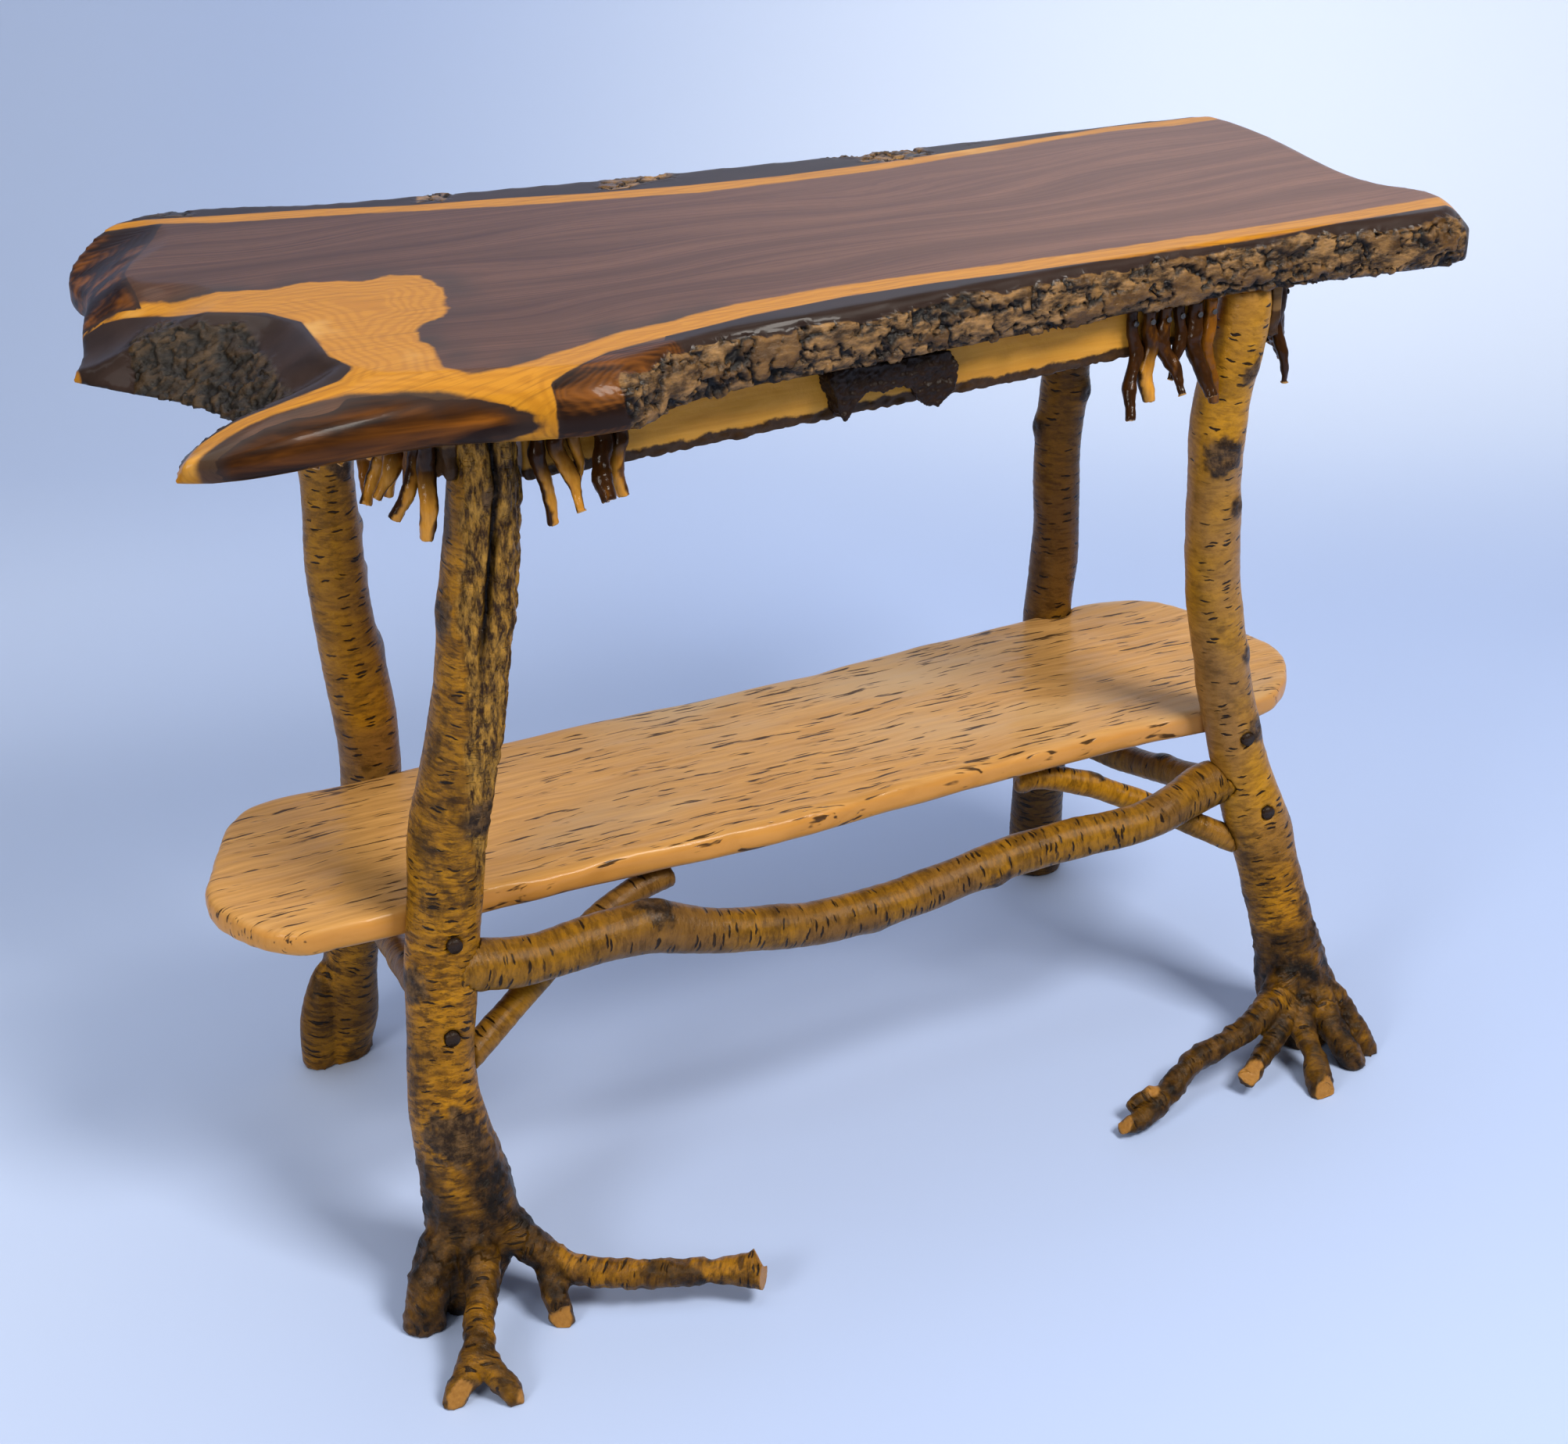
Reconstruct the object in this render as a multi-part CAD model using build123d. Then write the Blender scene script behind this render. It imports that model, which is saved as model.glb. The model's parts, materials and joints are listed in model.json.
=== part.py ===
"""Rustic hall table: forked live-edge slab on four root-footed trunk legs.

Frame: X along the length, Y to the back, Z up from the floor, origin at the
middle of the footprint. All sizes are in millimetres.
"""
import os
from math import cos, sin

from build123d import *

# ---------------------------------------------------------------- driving sizes
TABLE_HEIGHT = 860.0
TOP_THICKNESS = 50.0
TOP_LENGTH = 1222.0
TOP_DEPTH = 420.0
TOP_SET_BACK = 28.0

SHELF_HEIGHT = 350.0
SHELF_THICKNESS = 27.0
SHELF_LENGTH = 1130.0
SHELF_DEPTH = 250.0
SHELF_SET_BACK = 38.0
SHELF_EDGE_ROUND = 9.0

LEG_SPAN = 760.0
LEG_DEPTH_SPAN = 334.0
LEG_DIAMETER = 60.0
LEG_TENON_DIAMETER = 30.0
LEG_TENON_LENGTH = 30.0
ROOT_LEVEL = 57.0

STRETCHER_DIAMETER = 45.0
STRETCHER_HEIGHT = 270.0
SIDE_RAIL_DIAMETER = 31.0
SIDE_RAIL_FRONT_HEIGHT = 256.0
SIDE_RAIL_BACK_HEIGHT = 196.0
BRACE_DIAMETER = 25.0
BRACE_FOOT_HEIGHT = 200.0
RAIL_TENON_DIAMETER = 16.0
RAIL_TENON_LENGTH = 20.0

APRON_DEPTH = 52.0
APRON_THICKNESS = 18.0
APRON_TAILS = {"left": 60.0, "right": -4.0}
BACK_APRON_DEPTH = 46.0

DRAWER_FRONT_HEIGHT = 56.0
DRAWER_FRONT_THICKNESS = 20.0
DRAWER_FRONT_PLANE = -140.0
DRAWER_LENGTH = 280.0
DRAWER_BOX_HEIGHT = 34.0
DRAWER_SIDE_THICKNESS = 13.0
DRAWER_BOTTOM_THICKNESS = 5.0
DRAWER_TRAVEL = 220.0
DRAWER_END_GAP = 4.0
DRAWER_TOP_GAP = 2.5
GUIDE_WIDTH = 20.0
GUIDE_GAP = 1.0
GUIDE_INSET = 8.0
GUIDE_TO_FRONT_END = 16.0
DRAWER_TAIL = 10.0
RUNNER_HEIGHT = 10.0
RUNNER_REACH = 6.0
STOP_LENGTH = 40.0
STOP_THICKNESS = 12.0
STOP_DROP = 9.0

PULL_WIDTH = 120.0
PULL_DEPTH = 24.0
PULL_HEIGHT = 46.0

SCREW_DIAMETER = 6.0
SCREW_HEAD_DIAMETER = 12.0
SCREW_HEAD_LENGTH = 4.0
SCREW_BITE = 32.0
PLUG_DIAMETER = 13.0
PLUG_LENGTH = 9.0
PLUG_PROUD = 1.5
DOWEL_DIAMETER = 6.0
DOWEL_LENGTH = 24.0
SMALL_SCREW_DIAMETER = 4.0
SMALL_SCREW_BITE = 16.0

TWIG_DIAMETER = 13.0
TWIG_LENGTH = 78.0
TWIG_PITCH = 16.0
NAIL_DIAMETER = 2.0
NAIL_HEAD_DIAMETER = 5.0
NAIL_HEAD_THICKNESS = 1.0
NAIL_BITE = 7.0
NAIL_DROP = 11.0
TWIG_SEAT = 0.6
TWIG_SPREAD = 20.0
TWIG_STRAY = 9.0
TWIG_TOP_GAP = 3.0
FRINGE_INSET = 11.0
BARE_AT_LEG = 22.0
LEFT_FRONT_TWIGS = 5
RIGHT_FRONT_TWIGS = 6

FIT = 0.3
UNDERSIDE = TABLE_HEIGHT - TOP_THICKNESS
SHELF_UNDERSIDE = SHELF_HEIGHT - SHELF_THICKNESS
LEG_RADIUS = LEG_DIAMETER / 2
TENON_REACH = RAIL_TENON_LENGTH + 6.0
FAR = 2.0 * TOP_LENGTH


def save(name, *solids):
    """Write one node: a single solid, or a group of separate ones."""
    shape = solids[0] if len(solids) == 1 else Compound(children=list(solids))
    shape.label = name
    export_step(shape, f"parts/{name}.step")


def mix(start, end, share):
    """Value part of the way from start to end."""
    return start + (end - start) * share


def rod(start, end, radius):
    """Round bar between two points."""
    start = Vector(*start)
    end = Vector(*end)
    length = (end - start).length
    plane = Plane(origin=start, z_dir=end - start)
    return plane * Cylinder(radius, length, align=(Align.CENTER, Align.CENTER, Align.MIN))


def block(low, high):
    """Square-cut board from its lowest to its highest corner."""
    size = [b - a for a, b in zip(low, high)]
    corner = (Align.MIN, Align.MIN, Align.MIN)
    return Pos(*low) * Box(*size, align=corner)


def limb(stations, grow=0.0, side=(0, 0, 1), level_ends=()):
    """Tapering, wandering branch through (x, y, z, radius) stations.

    The stations named in level_ends are cut level, as where a foot stands
    on the floor; the others are square to the branch.
    """
    points = [Vector(*station[:3]) for station in stations]
    rings = []
    last = len(points) - 1
    for index, station in enumerate(stations):
        heading = points[min(index + 1, last)] - points[max(index - 1, 0)]
        across = Vector(*side).cross(heading)
        facing = Vector(0, 0, -1) if index in level_ends else heading
        plane = Plane(origin=points[index], x_dir=across, z_dir=facing)
        rings.append(plane * Circle(station[3] + grow))
    return loft(rings)


# ---------------------------------------------------------------- the slab top
# share of the length, front edge, round-over there, back edge (both from the
# nominal edge lines), and how far seven points across lie below the top face
OVER = 5.0
FLAT = (-OVER,) * 7
TOP_STEPS = 2
TOP_STATIONS = [
    (-0.512, -2, 20, 24, (46, 44, 27, 44, 42, 44, 42)),
    (-0.482, -12, 22, 47, (42, 28, 15, 36, 32, 36, 24)),
    (-0.460, -23, 24, 65, (30, 22, 6, 24, 14, 25, 12)),
    (-0.438, -27, 28, 78, (20, 14, 1, 13, -1, 12, 5)),
    (-0.412, -27, 40, 88, (12, 6, -4, 4, -5, 4, 0)),
    (-0.368, -24, 50, 92, (4, -3, -5, -5, -5, -5, -5)),
    (-0.323, -25, 54, 80, FLAT),
    (-0.286, -37, 48, 62, FLAT),
    (-0.250, -50, 36, 53, FLAT),
    (-0.209, -56, 34, 47, FLAT),
    (-0.172, -30, 16, 39, FLAT),
    (-0.123, -11, 12, 32, FLAT),
    (-0.049, -7, 12, 20, FLAT),
    (0.049, 1, 12, 10, FLAT),
    (0.164, 11, 11, -1, FLAT),
    (0.278, 17, 10, -8, FLAT),
    (0.368, 14, 12, -12, FLAT),
    (0.434, 5, 16, -16, FLAT),
    (0.459, 4, 18, -20, (-3, -4, 2, 0, -3, -4, -3)),
    (0.481, 10, 20, -26, (9, 4, 24, 20, 12, 8, 12)),
    (0.506, 17, 24, -33, (42, 38, 47, 47, 46, 44, 44)),
]
# plan of the two sculpted ends: share of the length, distance behind centre
LEFT_END = [(-0.36, 345), (-0.42, 318), (-0.448, 290), (-0.463, 262), (-0.465, 222),
            (-0.464, 182), (-0.478, 122), (-0.486, 80), (-0.499, 45), (-0.497, 12),
            (-0.470, -40), (-0.47, -120), (-0.482, -180), (-0.44, -270)]
RIGHT_END = [(0.44, 270), (0.484, 204), (0.481, 152), (0.476, 103), (0.472, 35),
             (0.461, -20), (0.470, -64), (0.486, -95), (0.498, -125), (0.488, -160),
             (0.43, -230)]
# the fork between the two limbs, cut through at the underside and at the top
FORK_BACK_LOW = [(-0.60, 62), (-0.500, 45), (-0.485, 12), (-0.466, -20), (-0.447, -48),
                 (-0.434, -76), (-0.429, -90)]
FORK_BACK_HIGH = [(-0.60, 62), (-0.470, 43), (-0.431, 38), (-0.392, 22), (-0.364, -10),
                  (-0.360, -70), (-0.354, -134)]
FORK_FRONT_LOW = [(-0.429, -90), (-0.452, -118), (-0.469, -135), (-0.478, -162), (-0.53, -250)]
FORK_FRONT_HIGH = [(-0.354, -134), (-0.372, -157), (-0.413, -176), (-0.458, -207), (-0.53, -260)]


def plan_points(outline, level):
    """Outline given as (share of length, y) as points at one level."""
    return [(share * TOP_LENGTH, y, level) for share, y in outline]


def blend(values, share):
    """Value on a smooth curve through four neighbours, between the middle two."""
    before, start, end, after = values
    rise = (end - before) / 2
    fall = (after - start) / 2
    return (
        start
        + rise * share
        + (3 * (end - start) - 2 * rise - fall) * share**2
        + (2 * (start - end) + rise + fall) * share**3
    )


def eased(stations, steps):
    """Stations with smooth ones filled in between them."""
    flat = [(*station[:-1], *station[-1]) for station in stations]
    padded = [flat[0], *flat, flat[-1]]
    filled = []
    for index in range(len(flat) - 1):
        around = padded[index:index + 4]
        for step in range(steps):
            filled.append(tuple(blend(values, step / steps) for values in zip(*around)))
    return filled + [flat[-1]]


def top_section(share, front, round_over, back, *drops):
    """One upright slice of the slab, taller than the sawn thickness."""
    x = share * TOP_LENGTH
    low = UNDERSIDE - OVER
    waist = UNDERSIDE + 0.4 * TOP_THICKNESS
    front_out = TOP_SET_BACK - TOP_DEPTH / 2 + front
    back_out = TOP_SET_BACK + TOP_DEPTH / 2 + back
    front_top = front_out + round_over
    back_top = back_out - 6.0
    top = [
        (x, mix(front_top, back_top, index / 6), TABLE_HEIGHT - drop)
        for index, drop in enumerate(drops)
    ]
    front_low = (x, front_out + 5.0, low)
    back_low = (x, back_out - 6.0, low)
    edges = [
        Line(back_low, front_low),
        Spline(front_low, (x, front_out, waist), top[0]),
        Spline(*top),
        Spline(top[-1], (x, back_out, waist), back_low),
    ]
    return make_face(edges)


def fork_slice(back_side, front_side, level):
    """Plan of the fork's gap at one level."""
    back_points = plan_points(back_side, level)
    front_points = plan_points(front_side, level)
    closing = Line(front_points[-1], back_points[0])
    return make_face([Spline(*back_points), Spline(*front_points), closing])


def end_keep(outline, toward):
    """Everything on the table side of one sculpted end."""
    points = plan_points(outline, 0.0)
    side = FAR if points[0][1] > 0 else -FAR
    corners = [points[-1], (points[-1][0], -side, 0), (toward, -side, 0), (toward, side, 0),
               (points[0][0], side, 0), points[0]]
    edges = [Spline(*points), Polyline(*corners)]
    return extrude(make_face(edges), TABLE_HEIGHT + OVER, dir=(0, 0, 1))


def top_slab():
    """Sawn slab with live edges, two shaped ends and the bark-walled fork."""
    sections = [top_section(*station) for station in eased(TOP_STATIONS, TOP_STEPS)]
    slab = loft(sections, ruled=True)
    slab &= block((-FAR, -FAR, UNDERSIDE), (FAR, FAR, TABLE_HEIGHT))
    slab &= end_keep(LEFT_END, FAR / 4)
    slab &= end_keep(RIGHT_END, -FAR / 4)
    low = fork_slice(FORK_BACK_LOW, FORK_FRONT_LOW, UNDERSIDE - OVER)
    high = fork_slice(FORK_BACK_HIGH, FORK_FRONT_HIGH, TABLE_HEIGHT + OVER)
    return slab - loft([low, high], ruled=True)


# ---------------------------------------------------------------- the legs
# share of the height, wander sideways, wander front to back, share of diameter
FRONT_LEFT_TRUNK = [
    (1.000, 44, 3, 0.80), (0.960, 42, 1, 0.92), (0.895, 41, 6, 1.00), (0.796, 34, 14, 1.04),
    (0.700, 25, 18, 1.04), (0.620, 15, 25, 1.08), (0.550, 4, 31, 1.10), (0.470, -4, 35, 1.08),
    (0.392, -12, 30, 1.06), (0.310, -24, 11, 1.00), (0.235, -30, -3, 1.04), (0.170, -26, -14, 1.20),
    (0.116, -21, -24, 1.34), (0.070, -24, -34, 1.32), (0.030, -32, -42, 1.10), (0.0, -36, -46, 0.86),
]
FRONT_RIGHT_TRUNK = [
    (1.000, -7, 5, 0.78), (0.965, -7, 3, 0.80), (0.890, -15, 9, 0.84), (0.800, -15, 15, 0.84),
    (0.720, -6, 22, 0.84), (0.640, 5, 30, 0.87), (0.555, 22, 37, 0.87), (0.465, 43, 43, 0.90),
    (0.392, 58, 40, 0.92), (0.320, 74, 29, 1.02), (0.255, 87, 17, 1.04), (0.190, 97, 1, 1.04),
    (0.130, 106, -12, 1.12), (0.080, 114, -20, 1.30), (0.035, 119, -28, 1.34), (0.0, 121, -32, 1.24),
]
BACK_LEFT_TRUNK = [
    (1.000, 6, 0, 0.84), (0.900, 5, 0, 0.84), (0.784, 5, -1, 0.84), (0.713, 4, -2, 0.88),
    (0.640, 5, -3, 0.94), (0.583, 10, -4, 0.97), (0.540, 15, -5, 1.00), (0.482, 19, -6, 1.00),
    (0.423, 20, -5, 0.97), (0.345, 15, 2, 0.97), (0.284, 13, 10, 0.96), (0.210, 2, 20, 0.92),
    (0.152, -8, 26, 0.90), (0.105, -12, 30, 0.97), (0.050, -17, 36, 1.04), (0.0, -25, 42, 1.12),
]
BACK_RIGHT_TRUNK = [
    (1.000, 26, 4, 0.80), (0.900, 26, 4, 0.80), (0.760, 26, 4, 0.80), (0.690, 23, 4, 0.80),
    (0.610, 23, 4, 0.80), (0.525, 25, 4, 0.82), (0.438, 20, 4, 0.84), (0.360, 24, 9, 0.86),
    (0.277, 30, 18, 0.90), (0.200, 35, 26, 0.94), (0.107, 40, 34, 0.98), (0.046, 43, 39, 1.00),
    (0.0, 46, 43, 1.00),
]
TRUNKS = {
    "front_left": (-1, -1, FRONT_LEFT_TRUNK),
    "front_right": (1, -1, FRONT_RIGHT_TRUNK),
    "back_left": (-1, 1, BACK_LEFT_TRUNK),
    "back_right": (1, 1, BACK_RIGHT_TRUNK),
}
# roots spread from the foot: offsets from the foot, height, share of diameter
FRONT_LEFT_ROOTS = [
    [(6, 10, 96, 0.44), (21, -6, 78, 0.60), (39, -28, 58, 0.56), (59, -52, 44, 0.50),
     (85, -69, 36, 0.46), (132, -90, 32, 0.43), (180, -107, 30, 0.42), (214, -125, 29, 0.42),
     (226, -136, 28, 0.40)],
    [(196, -108, 30, 0.30), (212, -116, 36, 0.28), (226, -118, 42, 0.18)],
    [(56, -50, 44, 0.44), (51, -66, 28, 0.42), (51, -76, 14, 0.38), (53, -80, 0, 0.34)],
    [(14, 0, 78, 0.48), (-8, -40, 62, 0.62), (-16, -66, 48, 0.52), (-28, -96, 36, 0.46),
     (-41, -120, 28, 0.44), (-56, -131, 16, 0.38), (-66, -134, 0, 0.30)],
    [(-38, -116, 28, 0.40), (-30, -136, 22, 0.38), (-23, -148, 10, 0.34), (-20, -154, 0, 0.28)],
    [(-4, 4, 80, 0.62), (-32, -10, 56, 0.72), (-50, -24, 28, 0.68), (-58, -30, 0, 0.62)],
]
FRONT_RIGHT_ROOTS = [
    [(-2, 0, 84, 0.50), (-32, -20, 74, 0.58), (-62, -38, 64, 0.48), (-92, -48, 57, 0.42),
     (-121, -53, 50, 0.40), (-147, -52, 42, 0.40), (-172, -56, 32, 0.40), (-196, -67, 24, 0.40),
     (-220, -76, 17, 0.37), (-244, -82, 13, 0.31), (-262, -82, 10, 0.20)],
    [(-196, -68, 24, 0.24), (-216, -66, 29, 0.20), (-230, -65, 24, 0.17), (-241, -64, 16, 0.14)],
    [(0, -6, 62, 0.44), (-24, -30, 60, 0.46), (-46, -48, 51, 0.38), (-64, -58, 42, 0.34),
     (-84, -67, 32, 0.32), (-104, -76, 22, 0.32), (-113, -80, 18, 0.31)],
    [(0, -8, 62, 0.50), (-20, -40, 54, 0.50), (-30, -60, 42, 0.42), (-32, -78, 28, 0.41),
     (-36, -94, 16, 0.43), (-40, -110, 0, 0.46)],
    [(2, -6, 60, 0.56), (4, -38, 52, 0.58), (5, -58, 38, 0.51), (10, -74, 22, 0.47),
     (18, -82, 0, 0.45)],
    [(6, 0, 58, 0.56), (20, -26, 52, 0.60), (28, -46, 36, 0.52), (36, -60, 20, 0.47),
     (44, -68, 0, 0.44)],
    [(4, 0, 50, 0.60), (32, 6, 34, 0.62), (44, 8, 0, 0.58)],
]
BACK_LEFT_BURL = [(-20, -4, 112, 0.20), (-26, -6, 84, 0.52), (-34, -8, 44, 0.60),
                  (-36, -8, 0, 0.60)]


def leg_place(leg):
    """Nominal middle of one leg in plan."""
    across, along, _ = TRUNKS[leg]
    return across * LEG_SPAN / 2, TOP_SET_BACK + along * LEG_DEPTH_SPAN / 2


def trunk_stations(leg):
    """Centre line and radius of a trunk from the slab down."""
    x, y = leg_place(leg)
    return [
        (x + aside, y + behind, share * UNDERSIDE, girth * LEG_RADIUS)
        for share, aside, behind, girth in TRUNKS[leg][2]
    ]


def trunk_at(leg, level):
    """Centre and radius of a trunk at one height."""
    stations = trunk_stations(leg)
    for high, low in zip(stations, stations[1:]):
        if low[2] <= level <= high[2]:
            share = (high[2] - level) / (high[2] - low[2])
            return tuple(mix(a, b, share) for a, b in zip(high, low))
    return stations[-1]


def trunk(leg, grow=0.0):
    """The stem alone, thickened where another piece is scribed to it."""
    stations = trunk_stations(leg)
    return limb(stations, grow, side=(0, 1, 0), level_ends=(0, len(stations) - 1))


def roots(leg, runs):
    """Cut roots that grow out of the foot of a trunk, level where they stand."""
    x, y, _, _ = trunk_at(leg, ROOT_LEVEL)
    grown = []
    for run in runs:
        stations = [(x + dx, y + dy, z, girth * LEG_RADIUS) for dx, dy, z, girth in run]
        standing = (len(run) - 1,) if run[-1][2] == 0 else ()
        grown.append(limb(stations, side=(0.35, -0.35, 1), level_ends=standing))
    return grown


def leg_tenon(leg, gap=0.0):
    """Round tenon that the trunk's head carries up into the slab."""
    x, y, _, _ = trunk_at(leg, UNDERSIDE)
    radius = LEG_TENON_DIAMETER / 2 + gap
    return rod((x, y, UNDERSIDE - 8.0), (x, y, UNDERSIDE + LEG_TENON_LENGTH + gap), radius)


def leg(name, root_runs):
    """Whole leg: trunk, roots, level foot and head tenon, before boring."""
    body = trunk(name)
    for root in roots(name, root_runs):
        body += root
    return body + leg_tenon(name)


# ---------------------------------------------------------------- rails and braces
# share of the run, rise from the nominal line, bulge to the front, share of diameter
STRETCHER_RUN = [(0.00, 25, 0, 1.00), (0.07, 25, 0, 1.02), (0.16, 25, 0, 1.00),
                 (0.24, 20, -2, 1.00), (0.29, 8, -4, 0.96), (0.38, -11, -5, 0.92),
                 (0.46, -19, -5, 0.90), (0.56, -15, -4, 0.88), (0.66, -6, -2, 0.88),
                 (0.76, 0, -8, 0.88), (0.87, 5, -12, 0.90), (1.00, 13, -4, 0.92)]
SIDE_RAIL_RUN = [(0.00, 0, 0, 1.00), (0.25, 2, 0, 0.98), (0.50, -3, 0, 0.96),
                 (0.75, -2, 0, 1.02), (1.00, 0, 0, 1.04)]
BRACE_RUN = [(0.00, 0, 0, 1.00), (0.22, 4, 6, 1.00), (0.45, 10, 11, 0.96),
             (0.70, 14, 10, 0.98), (0.88, 10, 5, 1.00), (1.00, 0, 0, 0.92)]
BRACE_TIP_IN = 250.0
BRACE_TIP_BEHIND = 78.0


def run_between(start, end, run, diameter):
    """Stations of a wandering rail between two points."""
    return [
        (
            mix(start[0], end[0], share),
            mix(start[1], end[1], share) + forward,
            mix(start[2], end[2], share) + rise,
            girth * diameter / 2,
        )
        for share, rise, forward, girth in run
    ]


def tenon_ends(stations, leg_radius):
    """Axis of a rail's tenon from inside the rail into the trunk's heart."""
    head = Vector(*stations[0][:3])
    heading = (Vector(*stations[1][:3]) - head).normalized()
    inner = head + heading * (leg_radius - RAIL_TENON_LENGTH)
    outer = head + heading * (leg_radius + TENON_REACH)
    return tuple(outer), tuple(inner)


def tenon(stations, leg_radius, gap=0.0):
    """Round tenon at the first end of a rail, or its bore with a gap."""
    outer, inner = tenon_ends(stations, leg_radius)
    reach = (Vector(*inner) - Vector(*outer)).normalized() * gap
    return rod(outer, tuple(Vector(*inner) + reach), RAIL_TENON_DIAMETER / 2 + gap)


def stretcher_stations():
    """Front stretcher from trunk to trunk."""
    left = trunk_at("front_left", STRETCHER_HEIGHT)
    right = trunk_at("front_right", STRETCHER_HEIGHT)
    start = (left[0], left[1], STRETCHER_HEIGHT)
    end = (right[0], right[1], STRETCHER_HEIGHT)
    return run_between(start, end, STRETCHER_RUN, STRETCHER_DIAMETER)


def side_rail_stations(side):
    """Side rail from the front trunk, sloping down to the back one."""
    front = trunk_at(f"front_{side}", SIDE_RAIL_FRONT_HEIGHT)
    back = trunk_at(f"back_{side}", SIDE_RAIL_BACK_HEIGHT)
    start = (front[0], front[1], SIDE_RAIL_FRONT_HEIGHT)
    end = (back[0], back[1], SIDE_RAIL_BACK_HEIGHT)
    return run_between(start, end, SIDE_RAIL_RUN, SIDE_RAIL_DIAMETER)


def brace_stations(side):
    """Brace from a front trunk up and inward to the shelf's underside."""
    foot = trunk_at(f"front_{side}", BRACE_FOOT_HEIGHT)
    inward = 1 if side == "left" else -1
    tip_level = SHELF_UNDERSIDE - BRACE_DIAMETER / 2 - 6.0
    start = (foot[0], foot[1], BRACE_FOOT_HEIGHT)
    end = (foot[0] + inward * BRACE_TIP_IN, foot[1] + BRACE_TIP_BEHIND, tip_level)
    return run_between(start, end, BRACE_RUN, BRACE_DIAMETER)


def shelf_zone():
    """Space the shelf and everything above it takes, for scribing braces."""
    return block((-FAR, -FAR, SHELF_UNDERSIDE - FIT), (FAR, FAR, FAR))


def scribed(stations, *trunk_names):
    """Branch whose ends are hollowed to sit against the trunks."""
    body = limb(stations)
    for name in trunk_names:
        body -= trunk(name, FIT)
    return body.solids().sort_by(lambda part: part.volume)[-1]


# ---------------------------------------------------------------- the shelf
# share of the length, then front and back edges from the nominal edge lines
SHELF_OUTLINE_FRONT = [(-0.435, 0), (-0.32, 1), (-0.20, 1), (-0.06, -3), (0.10, 6),
                       (0.22, 11), (0.33, 10), (0.44, 16)]
SHELF_OUTLINE_BACK = [(0.45, 12), (0.33, 26), (0.20, 18), (0.08, 8), (-0.10, 8),
                      (-0.22, 4), (-0.34, -6), (-0.44, -16)]
SHELF_RIGHT_TIP = [(0.482, 50), (0.500, 84), (0.494, 150)]
SHELF_LEFT_TIP = [(-0.484, 150), (-0.499, 100), (-0.482, 40)]


def shelf_outline():
    """Closed, waney plan of the shelf."""
    front = SHELF_SET_BACK - SHELF_DEPTH / 2
    back = SHELF_SET_BACK + SHELF_DEPTH / 2
    points = [(share * SHELF_LENGTH, front + off) for share, off in SHELF_OUTLINE_FRONT]
    points += [(share * SHELF_LENGTH, front + off) for share, off in SHELF_RIGHT_TIP]
    points += [(share * SHELF_LENGTH, back + off) for share, off in SHELF_OUTLINE_BACK]
    points += [(share * SHELF_LENGTH, front + off) for share, off in SHELF_LEFT_TIP]
    return make_face(Spline(*points, periodic=True))


def shelf_board():
    """Board with a rounded edge, notched to the four trunks."""
    board = extrude(shelf_outline(), SHELF_THICKNESS, dir=(0, 0, 1))
    board = Pos(0, 0, SHELF_UNDERSIDE) * board
    rims = board.edges().filter_by(lambda edge: abs(edge.tangent_at(0.5).Z) < 0.5)
    board = fillet(rims, min(SHELF_EDGE_ROUND, 0.45 * SHELF_THICKNESS))
    for name in TRUNKS:
        board -= trunk(name, FIT)
    return board.solids().sort_by(lambda part: part.volume)[-1]


# ---------------------------------------------------------------- aprons
def apron_line(side):
    """Front end, heading, outward direction, length and back leg's place."""
    outward = -1 if side == "left" else 1
    front = trunk_at(f"front_{side}", UNDERSIDE - APRON_DEPTH / 2)
    back = trunk_at(f"back_{side}", UNDERSIDE - APRON_DEPTH / 2)
    start = Vector(front[0] + outward * front[3], front[1] - front[3] * 0.5)
    touch = Vector(back[0] + outward * back[3], back[1])
    heading = (touch - start).normalized()
    facing = Vector(outward * heading.Y, -outward * heading.X)
    reach = (touch - start).length
    return start, heading, facing, reach + back[3] + APRON_TAILS[side], reach


def end_apron(side):
    """Live-edged board scribed to the outer faces of two trunks."""
    start, heading, facing, length, _ = apron_line(side)
    low = -APRON_DEPTH
    wave = [(0, low + 3), (0.25 * length, low - 2), (0.5 * length, low + 2),
            (0.75 * length, low), (length, low + 5)]
    profile = [Spline(*wave), Line(wave[-1], (length, 0)), Line((length, 0), (0, 0)),
               Line((0, 0), wave[0])]
    upright = Plane(
        origin=(start.X, start.Y, UNDERSIDE), x_dir=heading, z_dir=(heading.Y, -heading.X, 0)
    )
    board = extrude(upright * make_face(profile), APRON_THICKNESS / 2, both=True)
    for name in (f"front_{side}", f"back_{side}"):
        board -= trunk(name, FIT)
    return board.solids().sort_by(lambda part: part.volume)[-1]


def apron_screws(side, gap=0.0):
    """Screws through an end apron into the two trunks it is scribed to."""
    start, heading, facing, _, _ = apron_line(side)
    screws = []
    for end in ("front", "back"):
        x, y, _, radius = trunk_at(f"{end}_{side}", UNDERSIDE - APRON_DEPTH / 2)
        along = (Vector(x, y) - start).dot(heading)
        middle = start + heading * along + Vector(0, 0, UNDERSIDE - APRON_DEPTH * 0.5)
        head = middle + facing * (APRON_THICKNESS / 2)
        tip = head - facing * (APRON_THICKNESS + radius * 0.8 + gap)
        screws.append(rod(tuple(head), tuple(tip), SMALL_SCREW_DIAMETER / 2 + gap))
    return screws


def back_apron():
    """Plain board under the slab, scribed between the back trunks."""
    left = trunk_at("back_left", UNDERSIDE)
    right = trunk_at("back_right", UNDERSIDE)
    middle = (left[1] + right[1]) / 2
    half = APRON_THICKNESS / 2
    board = block(
        (left[0], middle - half, UNDERSIDE - BACK_APRON_DEPTH),
        (right[0], middle + half, UNDERSIDE),
    )
    for name in ("back_left", "back_right"):
        board -= trunk(name, FIT)
    return board.solids().sort_by(lambda part: part.volume)[-1]


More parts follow.
